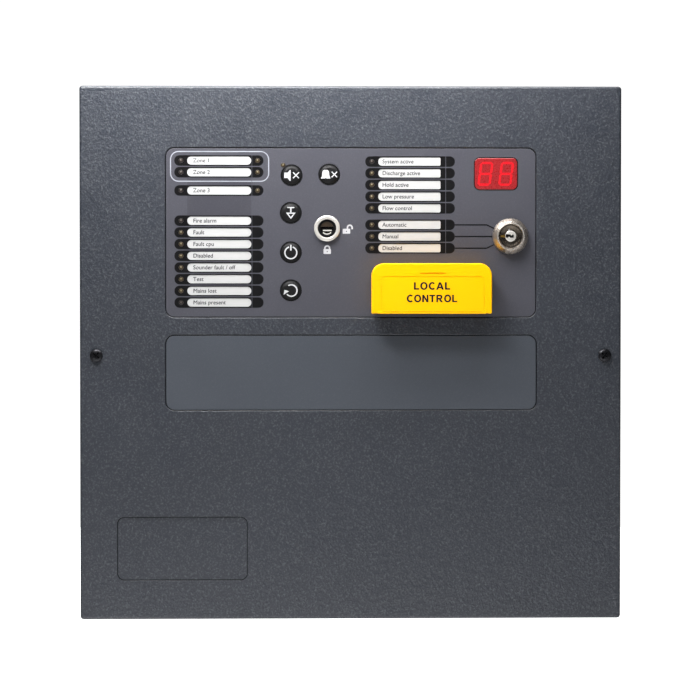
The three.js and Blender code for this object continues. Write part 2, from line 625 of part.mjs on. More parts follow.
// The flat cable between the boards: it drops into a slack loop, so the cover can be lifted off.
function ribbonCable() {
  const coverEnd = BOARD_BACK_Y + SOCKET.depth + FIT_GAP;
  const boxEnd = MAIN_BOARD.y - SOCKET.depth - FIT_GAP;
  const path = new THREE.CatmullRomCurve3([
    [coverEnd, RIBBON.displayZ], [coverEnd + 7, RIBBON.displayZ], [coverEnd + 13, 78], [coverEnd + 14, 40],
    [coverEnd + 15, -4], [coverEnd + 20, -11], [boxEnd - 21, -4], [boxEnd - 19, 30], [boxEnd - 15, 53],
    [boxEnd - 9, RIBBON.mainZ], [boxEnd, RIBBON.mainZ],
  ].map(([y, z]) => new THREE.Vector3(y, z, 0)));
  const centre = path.getSpacedPoints(32);
  const side = centre.map((point, i) => {
    const before = centre[Math.max(i - 1, 0)];
    const after = centre[Math.min(i + 1, centre.length - 1)];
    const along = after.clone().sub(before).normalize();
    return new THREE.Vector3(-along.y, along.x, 0).multiplyScalar(RIBBON.thickness / 2);
  });
  const upper = centre.map((point, i) => point.clone().add(side[i]));
  const lower = centre.map((point, i) => point.clone().sub(side[i])).reverse();
  const points = [...upper, ...lower].map((point) => [point.x, point.y]);
  return strip(points, RIBBON.x - RIBBON.w / 2, RIBBON.x + RIBBON.w / 2);
}

// ---- Assembly ----

function buildBackBox() {
  const wall = -SHEET;
  addPart(backGroup, 'back_box', backBox(), 'powder_coat');
  addPart(backGroup, 'screw_bracket_left', screwBracket(-1), 'zinc', 0, 0, COVER_SCREW.z);
  addPart(backGroup, 'screw_bracket_right', screwBracket(1), 'zinc', 0, 0, COVER_SCREW.z);
  addPart(backGroup, 'power_supply', powerSupply(), 'zinc', SUPPLY.x, wall - FIT_GAP, SUPPLY.z);
  addPart(backGroup, 'mains_terminal_block', terminalBlock(3, 9, 15), 'grey_plastic', -124, wall, 112);
  addPart(backGroup, 'earth_stud', earthStud(), 'brass', -92, wall, 112);
  addPart(backGroup, 'battery_left', battery(), 'battery_case', -BATTERY_X, wall - BATTERY_GAP, FLOOR_Z);
  addPart(backGroup, 'battery_right', battery(), 'battery_case', BATTERY_X, wall - BATTERY_GAP, FLOOR_Z);
  addPart(backGroup, 'battery_bar', batteryBar(), 'zinc');
}

function buildMainBoard() {
  const { x, z, w, h, y } = MAIN_BOARD;
  addPart(backGroup, 'main_board', mainBoard(), 'circuit_board');
  const boardBack = y + BOARD_THICKNESS;
  mirrorPairs(w / 2 - 6, h / 2 - 20).forEach(([dx, dz], i) => {
    const standoff = hexStandoff(-SHEET - boardBack);
    addPart(backGroup, `main_board_standoff_${i + 1}`, standoff, 'zinc', x + dx, boardBack, z + dz);
  });
  const terminalZ = z + h / 2 - 6;
  [-60, 0, 60].forEach((dx, i) => {
    const terminals = terminalBlock(6, 7.5, 12);
    addPart(backGroup, `terminal_block_${i + 1}`, terminals, 'green_plastic', x + dx, y, terminalZ);
  });
  [62, 82].forEach((relayZ, i) => {
    const relay = blockAt(0, 0, 28, 12.5, -15, 0);
    addPart(backGroup, `relay_${i + 1}`, relay, 'blue_plastic', 118, y, relayZ);
  });
}

// The leads run from the battery tabs to the foot of the main board, and from the supply to its edge.
function buildLeads() {
  const tabY = -SHEET - BATTERY_GAP + TERMINAL_TAB.y + TERMINAL_TAB.d / 2;
  const start = TAB_TOP + FIT_GAP;
  const outer = BATTERY_X + BATTERY.w / 2 - TERMINAL_TAB.inset;
  const inner = BATTERY_X - BATTERY.w / 2 + TERMINAL_TAB.inset;
  const boardEntry = MAIN_BOARD.z - MAIN_BOARD.h / 2 - FIT_GAP;
  const red = [
    [-outer, tabY, start], [-outer, tabY, start + 5], [12 - outer, tabY + 3, start + 10],
    [-80, -40, start + 13], [-44, -28, start + 14], [-27, -19, start + 14], [-25, -16, boardEntry],
  ];
  const black = [
    [outer, tabY, start], [outer, tabY, start + 5], [outer - 12, tabY + 3, start + 9],
    [60, -40, start + 11], [8, -28, start + 13], [-17, -19, start + 14], [-19, -16, boardEntry],
  ];
  const link = [
    [-inner, tabY, start], [-inner, tabY, start + 6], [0, tabY, start + 11],
    [inner, tabY, start + 6], [inner, tabY, start],
  ];
  const supply = [[-52.2, -16, 20], [-50, -16, 20], [-46.3, -19, 18], [-42.5, -17, 20], [-40.6, -17, 20]];
  const mains = [[-124, -8, 105.8], [-124, -8, 104], [-122, -14, 100], [-120, -19, 97.5], [-120, -19, 95.8]];
  addPart(backGroup, 'battery_lead_red', wire(red, LEAD_RADIUS, LEAD_STEPS), 'cable_red');
  addPart(backGroup, 'battery_lead_black', wire(black, LEAD_RADIUS, LEAD_STEPS), 'cable_black');
  addPart(backGroup, 'battery_link_lead', wire(link, LEAD_RADIUS, 10), 'cable_red');
  addPart(backGroup, 'supply_lead', wire(supply, 2, 8), 'cable_black');
  addPart(backGroup, 'mains_lead', wire(mains, 2.2, 8), 'cable_grey');
}

function buildFrontCover() {
  addPart(coverGroup, 'front_cover', frontCover(), 'powder_coat');
  addPart(coverGroup, 'control_overlay', controlOverlay(), 'overlay_film');
  const blank = plate(panelOutline(BLANK_PANEL, OVERLAY_EDGE_GAP), OVERLAY_Y, PRESSED_Y);
  addPart(coverGroup, 'blank_overlay', blank, 'overlay_film');
  for (const { name, x, z, w, h } of legendCards()) {
    addPart(coverGroup, name, blockAt(x, z, w, h, PRESSED_Y - CARD_THICKNESS, PRESSED_Y), 'card');
  }
  const lens = plate(panelOutline(DISPLAY), FACE_Y, COVER_BACK_Y - 0.2);
  addPart(coverGroup, 'display_window', lens, 'red_lens');
  const module = blockAt(DISPLAY.x, DISPLAY.z, 25.2, 19, COVER_BACK_Y + 0.1, DISPLAY_BOARD.y);
  addPart(coverGroup, 'display_module', module, 'black_plastic');
  addPart(coverGroup, 'display_board', displayBoard(), 'circuit_board');
  mirrorPairs(108.3, 44).forEach(([x, dz], i) => {
    const standoff = hexStandoff(DISPLAY_BOARD.y - COVER_BACK_Y);
    const name = `display_board_standoff_${i + 1}`;
    addPart(coverGroup, name, standoff, 'zinc', x, COVER_BACK_Y, DISPLAY_BOARD.z + dz);
  });
  addPart(coverGroup, 'buzzer', buzzer(), 'black_plastic', -72, BOARD_BACK_Y, 60);
  for (const column of LED_COLUMNS) {
    addPart(coverGroup, column.name, lightGuide(column), 'amber_lens');
  }
  for (const [side, x] of [['left', -COVER_SCREW.x], ['right', COVER_SCREW.x]]) {
    addPart(coverGroup, `cover_screw_${side}`, coverScrew(), 'dark_screw', x, FACE_Y, COVER_SCREW.z);
  }
}

function buildControls() {
  for (const [name, { x, z }] of Object.entries(BUTTONS)) {
    addPart(coverGroup, name, buttonCap(), 'black_plastic', x, OVERLAY_Y, z);
  }
  const access = [ACCESS_LOCK.x, OVERLAY_Y, ACCESS_LOCK.z];
  const accessNut = lockNut(ACCESS_LOCK, 17, 3);
  addPart(coverGroup, 'access_lock_body', lockBody(ACCESS_LOCK, 1.9, 21.7, 0.6), 'chrome', ...access);
  addPart(coverGroup, 'access_lock_plug', accessPlug(), 'black_plastic', ...access);
  addPart(coverGroup, 'access_lock_nut', accessNut, 'brass', ACCESS_LOCK.x, COVER_BACK_Y, ACCESS_LOCK.z);
  const mode = [MODE_LOCK.x, OVERLAY_Y, MODE_LOCK.z];
  const modeNut = lockNut(MODE_LOCK, 24, 3.5);
  addPart(coverGroup, 'mode_lock_body', lockBody(MODE_LOCK, 5, 28, 2.6), 'chrome', ...mode);
  addPart(coverGroup, 'mode_lock_plug', modePlug(), 'chrome', ...mode);
  addPart(coverGroup, 'mode_lock_nut', modeNut, 'brass', MODE_LOCK.x, COVER_BACK_Y, MODE_LOCK.z);
  const switchBlock = blockAt(0, 0, 22, 20, 28, 40);
  const contacts = [-7, 0, 7].map((x) => blockAt(x, 0, 3, 0.8, 39, 46));
  addPart(coverGroup, 'mode_switch_block', union([switchBlock, ...contacts]), 'black_plastic', ...mode);
}

function buildRelease() {
  const { x, w } = FLAP;
  const half = w / 2 - 0.4;
  const pin = pinX(PIN_RADIUS, x - half, x + half, FLAP_PIVOT.y, FLAP_PIVOT.z, 12);
  addPart(releaseGroup, 'release_base', releaseBase(), 'yellow_plastic');
  addPart(releaseGroup, 'release_hinge_pin', pin, 'zinc');
  addPart(releaseGroup, 'release_flap', releaseFlap(), 'yellow_plastic');
  const { x: buttonX, z: buttonZ } = RELEASE_BUTTON;
  addPart(releaseGroup, 'release_button', releaseButton(), 'red_plastic', buttonX, OVERLAY_Y, buttonZ);
  const microSwitch = blockAt(buttonX, buttonZ, 12, 12, DISPLAY_BOARD.y - 4.9, DISPLAY_BOARD.y);
  addPart(releaseGroup, 'release_switch', microSwitch, 'black_plastic');
}

buildBackBox();
buildMainBoard();
buildLeads();
buildFrontCover();
buildControls();
buildRelease();
addPart(group, 'ribbon_cable', ribbonCable(), 'cable_grey');

export default group;
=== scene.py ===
"""Looks, light and camera of a wall-mounted fire alarm and extinguishing control panel.

Metres in Blender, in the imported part's frame: +X to the right as seen from the front, +Y into the
wall, +Z up. Shapes are collected in millimetres by Form and scaled when they become an object.
"""

import math

import bmesh
import bpy
from mathutils import Matrix, Vector
from mathutils.geometry import tessellate_polygon


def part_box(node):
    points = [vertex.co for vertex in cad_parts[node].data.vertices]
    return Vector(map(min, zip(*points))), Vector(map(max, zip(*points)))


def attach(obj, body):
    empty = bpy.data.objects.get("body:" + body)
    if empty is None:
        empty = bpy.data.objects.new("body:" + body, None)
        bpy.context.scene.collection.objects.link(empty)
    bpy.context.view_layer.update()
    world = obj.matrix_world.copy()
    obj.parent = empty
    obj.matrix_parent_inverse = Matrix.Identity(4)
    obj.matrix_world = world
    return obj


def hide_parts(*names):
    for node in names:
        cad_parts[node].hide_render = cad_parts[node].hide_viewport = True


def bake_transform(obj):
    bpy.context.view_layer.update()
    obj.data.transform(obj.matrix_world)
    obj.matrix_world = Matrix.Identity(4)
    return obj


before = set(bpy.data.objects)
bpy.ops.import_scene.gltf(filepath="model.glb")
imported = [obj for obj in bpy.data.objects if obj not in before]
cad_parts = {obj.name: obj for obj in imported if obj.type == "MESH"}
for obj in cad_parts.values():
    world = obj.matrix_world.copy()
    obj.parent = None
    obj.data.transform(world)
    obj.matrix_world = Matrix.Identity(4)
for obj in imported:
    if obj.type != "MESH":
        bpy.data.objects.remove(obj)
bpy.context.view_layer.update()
MM = 0.001

# ---- Sizes repeated from the part's source, in millimetres ----
WIDTH, HEIGHT, DEPTH = 325.0, 320.0, 88.0
SHEET = 1.2
BEND = 1.6
CORNER = 2.0
FLANGE = 30.0
BOX_DEPTH = 67.0
NEST_GAP = 0.5
FACE_Y = -DEPTH
PRESSED_Y = FACE_Y + 1.0
COVER_BACK_Y = PRESSED_Y + SHEET
OVERLAY_Y = PRESSED_Y - 0.7
EDGE_GAP = 0.3
CONTROL_PANEL = (0.0, 72.2, 222.5, 101.8, 5.4)
BLANK_PANEL = (0.15, -11.8, 222.9, 45.4, 5.4)
LABEL_PANEL = (-101.2, -117.4, 78.2, 38.2, 4.2)
ZONE_ROWS = [115.3, 108.3, 97.4]
STATUS_ROWS = [79.3 - 7 * i for i in range(8)]
SYSTEM_ROWS = [114.8 - 7 * i for i in range(5)] + [76.9 - 7 * i for i in range(3)]
LEFT_ROWS = ZONE_ROWS + STATUS_ROWS
LEFT_WINDOW_X, LEFT_WINDOW_W = -78.95, 38.3
RIGHT_WINDOW_X, RIGHT_WINDOW_W = 35.0, 37.4
WINDOW_H = 5.0
STATUS_LED_X, ZONE_LED_X, SYSTEM_LED_X = -101.8, -56.0, 12.5
BUZZER_LED = (-40.7, 112.6)
BUTTON_HOLE = 6.6
ACCESS_HOLE, MODE_HOLE, RELEASE_HOLE = 6.9, 9.7, 4.4
SCREW_HOLE = 2.3
FLAP_X, FLAP_LOW, FLAP_W, FLAP_H, FLAP_ROUND = 47.85, 23.9, 71.6, 29.9, 7.6
FLAP_WALL, FLAP_FACE = 1.8, 1.6
FLAP_FACE_Y, FLAP_BACK_Y = -102.0, -88.7
FLAP_PIVOT = (-96.0, 27.9)

# ---- Sizes of the looks only, in millimetres ----
FILM_GAP = 0.5
LED_HOLE = 1.5
PILL_H, PILL_ROUND = 6.3, 3.04
LEFT_PILL, RIGHT_PILL = (-79.15, 53.3), (35.4, 53.8)
CARD_MARGIN = 3.2
INK = 0.035
CAPITAL_HEIGHT = 0.682            # of the built-in font, at size 1


def centre(node):
    """X and Z of the middle of a CAD node, in millimetres."""
    low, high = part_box(node)
    return (low.x + high.x) / 2 / MM, (low.z + high.z) / 2 / MM


def add_object(name, data):
    made = bpy.data.objects.new(name, data)
    bpy.context.scene.collection.objects.link(made)
    return made


# ---- Camera, at the photograph's viewing angle ----
CAMERA_DISTANCE = 1.6
CAMERA_LENS, SENSOR_WIDTH = 137.09, 36
CAMERA_AZIMUTH, CAMERA_ELEVATION = -1.425, 1.442
AIM = Vector((-0.00064, FACE_Y * MM, 0.00181))


def make_camera():
    data = bpy.data.cameras.new("camera")
    data.sensor_width, data.lens = SENSOR_WIDTH, CAMERA_LENS
    data.clip_start, data.clip_end = 0.05, 60
    camera = add_object("camera", data)
    azimuth, elevation = math.radians(CAMERA_AZIMUTH), math.radians(CAMERA_ELEVATION)
    back = Vector((
        math.sin(azimuth) * math.cos(elevation),
        -math.cos(azimuth) * math.cos(elevation),
        math.sin(elevation),
    ))
    camera.location = AIM + back * CAMERA_DISTANCE
    camera.rotation_euler = (-back).to_track_quat("-Z", "Y").to_euler()
    bpy.context.scene.camera = camera


make_camera()

# ---- Materials ----


def linear(code):
    """A linear colour from an sRGB code such as '4b4f57'."""
    channels = [int(code[i:i + 2], 16) / 255 for i in (0, 2, 4)]
    return [c / 12.92 if c <= 0.04045 else ((c + 0.055) / 1.055) ** 2.4 for c in channels]


def shade(colour, factor):
    return (*[min(1.0, c * factor) for c in colour], 1.0)


class Nodes:
    """Adds nodes to one tree: each input is a number, a colour or another node's socket."""

    def __init__(self, tree):
        self.tree = tree
        tree.nodes.clear()

    def add(self, kind, inputs=(), **settings):
        node = self.tree.nodes.new(kind)
        for key, value in settings.items():
            setattr(node, key, value)
        for key, value in dict(inputs).items():
            if isinstance(value, bpy.types.NodeSocket):
                self.tree.links.new(value, node.inputs[key])
            else:
                node.inputs[key].default_value = value
        return node

    def noise(self, where, scale, detail=3.0, roughness=0.55):
        inputs = {"Vector": where, "Scale": scale, "Detail": detail, "Roughness": roughness}
        return self.add("ShaderNodeTexNoise", inputs).outputs["Fac"]

    def remap(self, value, low, high, new_low, new_high):
        inputs = {0: value, 1: low, 2: high, 3: new_low, 4: new_high}
        return self.add("ShaderNodeMapRange", inputs).outputs[0]

    def mix(self, factor, first, second):
        node = self.add("ShaderNodeMix", {0: factor}, data_type="RGBA")
        for index, value in ((6, first), (7, second)):
            if isinstance(value, bpy.types.NodeSocket):
                self.tree.links.new(value, node.inputs[index])
            else:
                node.inputs[index].default_value = value
        return node.outputs[2]


def surface(name, code, rough, metal=0.0, vary=0.07, patch=90.0, rough_vary=0.06,
            grain=0.0007, bump=0.08, fleck=0.0, bump_depth=0.0001, second_grain=None, **extra):
    """A finish whose colour and gloss drift in patches of 1/patch metres, with a fine grain.

    grain is the size of the grain in metres, bump the strength of its relief, and fleck how much
    lighter and darker the colour gets on it. second_grain adds a wider relief. extra holds more
    inputs of the shader, the same all over.
    """
    material = bpy.data.materials.new(name)
    material.use_nodes = True
    nodes = Nodes(material.node_tree)
    place = nodes.add("ShaderNodeTexCoord").outputs["Object"]
    # Turned, so that no flat face lies along the noise's own lattice.
    turned = {"Vector": place, "Rotation": (0.5, 0.35, 0.7)}
    where = nodes.add("ShaderNodeMapping", turned).outputs[0]
    colour = linear(code)
    spread = nodes.remap(nodes.noise(where, patch), 0.3, 0.7, 0.0, 1.0)
    paint = nodes.mix(spread, shade(colour, 1 - vary), shade(colour, 1 + vary))
    glossy, dull = max(0.03, rough - rough_vary), min(1.0, rough + rough_vary)
    gloss = nodes.remap(nodes.noise(where, patch * 3.1, 2.0), 0.3, 0.7, glossy, dull)
    speckle = nodes.noise(where, 1 / grain, 2.0, 0.6)
    if fleck:
        light, dark = shade([c + 0.25 for c in colour], 1.0), shade(colour, 0.35)
        for end, tint in ((0.75, light), (0.25, dark)):
            paint = nodes.mix(nodes.remap(speckle, 0.5, end, 0.0, fleck), paint, tint)
    height = speckle
    if second_grain:
        wide = nodes.noise(where, 1 / second_grain, 1.0)
        height = nodes.add("ShaderNodeMath", {0: speckle, 1: wide}, operation="ADD").outputs[0]
    bumps = {"Height": height, "Strength": bump, "Distance": bump_depth}
    relief = nodes.add("ShaderNodeBump", bumps).outputs["Normal"]
    inputs = {"Base Color": paint, "Roughness": gloss, "Metallic": metal, "Normal": relief}
    inputs.update({key.replace("_", " "): value for key, value in extra.items()})
    shader = nodes.add("ShaderNodeBsdfPrincipled", inputs)
    nodes.add("ShaderNodeOutputMaterial", {"Surface": shader.outputs[0]})
    return material


PAINT = surface("powder_coat", "1f232b", 0.47, vary=0.05, patch=14, grain=0.0011, bump=0.68,
                bump_depth=0.0004, second_grain=0.0028, fleck=0.16, rough_vary=0.04)
# Darker paint for the foot of each pressed step: painted shade.
STEP_SHADE_PAINT = surface("painted_step_shade", "0b0d11", 0.6, vary=0.1, patch=60, grain=0.0011, bump=0.3,
                      Specular_IOR_Level=0.2)
FILM = surface("overlay_film", "38383f", 0.44, vary=0.035, patch=18, grain=0.0009, bump=0.12, fleck=0.035,
               rough_vary=0.03)
BLANK_FILM = surface("blank_film", "373b42", 0.44, vary=0.035, patch=18, grain=0.0009, bump=0.12,
                     fleck=0.035, rough_vary=0.03)
POCKET_FILM = surface("pocket_film", "313138", 0.42, vary=0.04, patch=30, grain=0.0009, bump=0.1,
                      fleck=0.03)
BLACK_INK = surface("black_ink", "09090a", 0.4, vary=0.15, grain=0.0008, bump=0.06,
                    Specular_IOR_Level=0.18)
LINE_INK = surface("line_ink", "08090b", 0.4, vary=0.12, patch=120, grain=0.0008, bump=0.06,
                   Specular_IOR_Level=0.18)
WHITE_INK = surface("white_ink", "a8a8aa", 0.45, vary=0.04, patch=150, grain=0.0006, bump=0.06)
PALE_INK = surface("pale_ink", "8b8e95", 0.45, vary=0.06, patch=150, grain=0.0006, bump=0.06)
CARD = surface("card", "a3a3a2", 0.6, vary=0.025, patch=40, grain=0.0005, bump=0.05)
GREY_INK = surface("grey_ink", "38383a", 0.6, vary=0.12, patch=200, grain=0.0005, bump=0.05)
RED_LENS = surface("red_lens", "7a1518", 0.3, vary=0.16, patch=500, grain=0.0006, bump=0.12)
RED_SEGMENT = surface("red_segment", "bd0a18", 0.3, vary=0.12, patch=600, grain=0.0006, bump=0.12)
AMBER_LENS = surface("amber_lens", "2f2514", 0.35, vary=0.2, patch=700, bump=0.05)
SMOKE_LENS = surface("smoke_lens", "211b19", 0.3, vary=0.2, patch=700, bump=0.05)
CAP_BLACK = surface("cap_black", "060607", 0.55, vary=0.15, patch=160, grain=0.0006, bump=0.05,
                    Specular_IOR_Level=0.2)
SHADOW_BLACK = surface("shadow_black", "050506", 0.6, vary=0.2, patch=160, grain=0.0006, bump=0.1,
                       Specular_IOR_Level=0.15)
CHROME = surface("chrome", "d9d6d2", 0.13, metal=1.0, vary=0.03, patch=120, rough_vary=0.04, bump=0.03)
# Half metal with a pale diffuse colour, so the polished parts look bright from every side: a painted
# reflection of the front light.
POLISHED_PAINTED_REFLECTION = surface("polished_ring_painted_reflection", "c6c2bc", 0.2, metal=0.5, vary=0.03, patch=200, rough_vary=0.04,
                   bump=0.03)
SATIN_CHROME = surface("satin_chrome", "988f86", 0.28, metal=0.85, vary=0.05, patch=160, rough_vary=0.02,
                       grain=0.0009, bump=0.02)
# Tan for small parts on the board, and for the painted highlight on the smoked lamps; amber for the painted
# highlight on the amber lamps.
TAN_BEAD_AND_HIGHLIGHT = surface("tan_bead_and_highlight", "4c4540", 0.45, vary=0.15, patch=900, grain=0.0005, bump=0.05)
AMBER_HIGHLIGHT = surface("painted_amber_highlight", "6f664e", 0.45, vary=0.15, patch=900, grain=0.0005, bump=0.05)
SMOKED_BRASS = surface("smoked_brass", "40352a", 0.35, metal=0.5, vary=0.2, patch=400, grain=0.0008,
                       bump=0.1)
SMOKED_CHROME = surface("smoked_chrome", "6b6258", 0.24, metal=1.0, vary=0.2, patch=300, grain=0.0009,
                        bump=0.2, rough_vary=0.08)
YELLOW = surface("yellow_plastic", "e8aa00", 0.42, vary=0.015, patch=35, grain=0.0006, bump=0.06,
                 Specular_IOR_Level=0.1)
NAVY_INK = surface("navy_ink", "05071a", 0.45, vary=0.1, patch=150, grain=0.0006, bump=0.05,
                   Specular_IOR_Level=0.15)
RED_PLASTIC = surface("red_plastic", "a80f15", 0.3, vary=0.06, bump=0.06)
SCREW_BLACK = surface("dark_screw", "1d1d20", 0.34, metal=0.75, vary=0.2, patch=300, grain=0.0006,
                      bump=0.12)
ZINC = surface("zinc", "a9abad", 0.38, metal=1.0, vary=0.1, patch=110, grain=0.0012, bump=0.1,
               rough_vary=0.1)
BRASS = surface("brass", "b08d45", 0.3, metal=1.0, vary=0.1, patch=150, grain=0.0008)
GREY_PLASTIC = surface("grey_plastic", "6d7076", 0.5, vary=0.05, patch=60, bump=0.1)
BLACK_PLASTIC = surface("black_plastic", "18181a", 0.45, vary=0.12, patch=80, bump=0.12)
GREEN_PLASTIC = surface("green_plastic", "2b7a3c", 0.42)
BLUE_PLASTIC = surface("blue_plastic", "1d4c96", 0.4)
BATTERY_CASE = surface("battery_case", "43464b", 0.55, vary=0.08, patch=40, grain=0.0009, bump=0.2)
CABLE_RED = surface("cable_red", "a11519", 0.42, vary=0.08, patch=120, grain=0.0008)
CABLE_BLACK = surface("cable_black", "161616", 0.42, vary=0.15, patch=120, grain=0.0008)
CABLE_GREY = surface("cable_grey", "8b8d91", 0.5, vary=0.06, patch=120, grain=0.0008)
BOARD_GREEN = surface("circuit_board", "1d5632", 0.38, vary=0.22, patch=170, grain=0.0016, bump=0.1)
PALE_PLASTIC = surface("pale_plastic", "b4b0a4", 0.45, vary=0.05)


# ---- Shapes ----


def circle(x, z, r, steps=40):
    turn = 2 * math.pi / steps
    return [(x + r * math.cos(i * turn), z + r * math.sin(i * turn)) for i in range(steps)]


def arc(x, z, r, start, end, steps=20):
    """Pairs along an arc, in degrees anticlockwise from the first axis."""
    angles = [math.radians(start + (end - start) * i / steps) for i in range(steps + 1)]
    return [(x + r * math.cos(a), z + r * math.sin(a)) for a in angles]


def cornered(left, right, low, high, radii, steps=6):
    """A rectangle as (x, z) pairs. radii are its corners', from the top right anticlockwise."""
    pairs = []
    for number, (sx, sz) in enumerate(((1, 1), (-1, 1), (-1, -1), (1, -1))):
        r = radii[number]
        x = right - r if sx > 0 else left + r
        z = high - r if sz > 0 else low + r
        pairs += arc(x, z, r, 90 * number, 90 * number + 90, steps)
    return pairs


def rounded(x, z, w, h, r, steps=6, grow=0.0):
    """A rectangle with round corners, as (x, z) pairs. grow moves every side outwards."""
    half_w, half_h, r = w / 2 + grow, h / 2 + grow, max(r + grow, 0.02)
    return cornered(x - half_w, x + half_w, z - half_h, z + half_h, [r] * 4, steps)


def band(x, z, inner, outer, start, end, steps=24):
    """A piece of a flat ring."""
    return arc(x, z, outer, start, end, steps) + arc(x, z, inner, end, start, steps)


def bar(x0, z0, x1, z1, width):
    """A straight stroke with square ends."""
    dx, dz = x1 - x0, z1 - z0
    length = math.hypot(dx, dz)
    nx, nz = -dz / length * width / 2, dx / length * width / 2
    return [(x0 + nx, z0 + nz), (x0 - nx, z0 - nz), (x1 - nx, z1 - nz), (x1 + nx, z1 + nz)]


def shifted(pairs, x, z):
    return [(x + a, z + b) for a, b in pairs]


class Form:
    """Closed shapes in millimetres, collected before they become one object."""

    def __init__(self):
        self.points, self.faces, self.marks = [], [], []

    def face(self, corners, mark=0):
        self.faces.append(tuple(corners))
        self.marks.append(mark)

    def ring(self, pairs, y):
        start = len(self.points)
        self.points += [(x, y, z) for x, z in pairs]
        return list(range(start, len(self.points)))

    def bridge(self, a, b, mark=0):
        for i in range(len(a)):
            j = (i + 1) % len(a)
            self.face((a[i], a[j], b[j], b[i]), mark)

    def fill(self, outer, holes=(), mark=0):
        """A flat face across a ring, with holes."""
        loops = [outer, *holes]
        corners = [i for loop in loops for i in loop]
        shapes = [[(self.points[i][0], self.points[i][2], 0) for i in loop] for loop in loops]
        for triangle in tessellate_polygon(shapes):
            self.face([corners[i] for i in triangle], mark)

    def loft(self, outline, profile, mark=0):
        """Joins rings along a profile of (offset, y), where outline(offset) gives the pairs."""
        rings = [self.ring(outline(off), y) for off, y in profile]
        for a, b in zip(rings, rings[1:]):
            self.bridge(a, b, mark)
        return rings

    def solid(self, outline, profile, mark=0):
        """A loft that is closed at both ends."""
        rings = self.loft(outline, profile, mark)
        self.fill(rings[0], mark=mark)
        self.fill(rings[-1], mark=mark)

    def bores(self, outlines, y0, y1, mark=0):
        """Walls from y0 to y1 along each outline. Gives their rings at both ends."""
        fronts = [self.ring(pairs, y0) for pairs in outlines]
        backs = [self.ring(pairs, y1) for pairs in outlines]
        for a, b in zip(fronts, backs):
            self.bridge(a, b, mark)
        return fronts, backs

    def plate(self, outline, y0, y1, holes=(), mark=0):
        """A flat shape from y0 to y1, with holes through it."""
        for rings in self.bores((outline, *holes), y0, y1, mark):
            self.fill(rings[0], rings[1:], mark)

    def slab(self, x, z, w, h, y0, y1, r=0.5, edge=0.25, mark=0, steps=3):
        """A block with round corners and rounded front and back edges."""
        profile = arc(-edge, y0 + edge, edge, -90, 0, 3) + arc(-edge, y1 - edge, edge, 0, 90, 3)
        self.solid(lambda off: rounded(x, z, w, h, max(r, edge), steps, off), profile, mark)

    def lathe(self, profile, x, z, y=0.0, steps=48, mark=0):
        """A shape turned about Y, from pairs (radius, y) that start and end on the axis."""
        rings = []
        for r, dy in profile:
            pairs = circle(x, z, r, steps) if r > 1e-6 else [(x, z)]
            rings.append(self.ring(pairs, y + dy))
        for a, b in zip(rings, rings[1:]):
            if len(a) == 1:
                a, b = b, a
            if len(b) == 1:
                for i in range(len(a)):
                    self.face((a[i], a[(i + 1) % len(a)], b[0]), mark)
            else:
                self.bridge(a, b, mark)

    def add(self, other, matrix):
        """Takes in another form, moved by a matrix."""
        start = len(self.points)
        self.points += [tuple(matrix @ Vector(p)) for p in other.points]
        self.faces += [tuple(i + start for i in face) for face in other.faces]
        self.marks += other.marks

    def rod(self, profile, at, about, steps, mark=0):
        """A lathed shape laid along X, if it turns about Z, or along Z, if it turns about X."""
        turned = Form()
        turned.lathe(profile, 0, 0, 0, steps, mark)
        self.add(turned, Matrix.Translation(at) @ Matrix.Rotation(math.radians(90), 4, about))

    def lettering(self, text, x, z, y, cap, mark=0):
        """Raised letters whose capitals are cap high."""
        curve = bpy.data.curves.new("lettering", "FONT")
        curve.body, curve.size = text, cap / CAPITAL_HEIGHT
        curve.extrude, curve.resolution_u = 0.015, 3
        shape = add_object("lettering", curve)
        bpy.context.view_layer.update()
        mesh = shape.evaluated_get(bpy.context.evaluated_depsgraph_get()).to_mesh()
        start = len(self.points)
        self.points += [(x + v.co.x, y - v.co.z, z + v.co.y) for v in mesh.vertices]
        for polygon in mesh.polygons:
            self.face([i + start for i in polygon.vertices], mark)
        bpy.data.objects.remove(shape)
        bpy.data.curves.remove(curve)

    def mesh(self, name, sharp=32.0):
        data = bpy.data.meshes.new(name)
        data.from_pydata([Vector(p) * MM for p in self.points], [], self.faces)
        data.polygons.foreach_set("material_index", self.marks)
        work = bmesh.new()
        work.from_mesh(data)
        bmesh.ops.remove_doubles(work, verts=work.verts, dist=2e-6)
        bmesh.ops.dissolve_degenerate(work, edges=work.edges, dist=1e-7)
        bmesh.ops.recalc_face_normals(work, faces=work.faces)
        work.to_mesh(data)
        work.free()
        finish_shading(data, sharp)
        return data

    def build(self, name, body, materials, stands_for=(), slot=None, sharp=32.0, cutters=()):
        """Makes the form an object that rides a body, once the cutters have worked on it."""
        data = carve(self, cutters, sharp) if cutters else self.mesh(name, sharp)
        data.name = name
        for material in materials:
            data.materials.append(material)
        made = add_object(name, data)
        weigh_normals(made)
        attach(made, body)
        if stands_for:
            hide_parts(*stands_for)


def finish_shading(data, sharp):
    data.polygons.foreach_set("use_smooth", [True] * len(data.polygons))
    data.set_sharp_from_angle(angle=math.radians(sharp))


def weigh_normals(made):
    """Flat faces keep their own normal, and the curves between them take up the turn."""
    weighted = made.modifiers.new("normals", "WEIGHTED_NORMAL")
    weighted.mode = "FACE_AREA"
    weighted.weight = 50
    weighted.keep_sharp = True


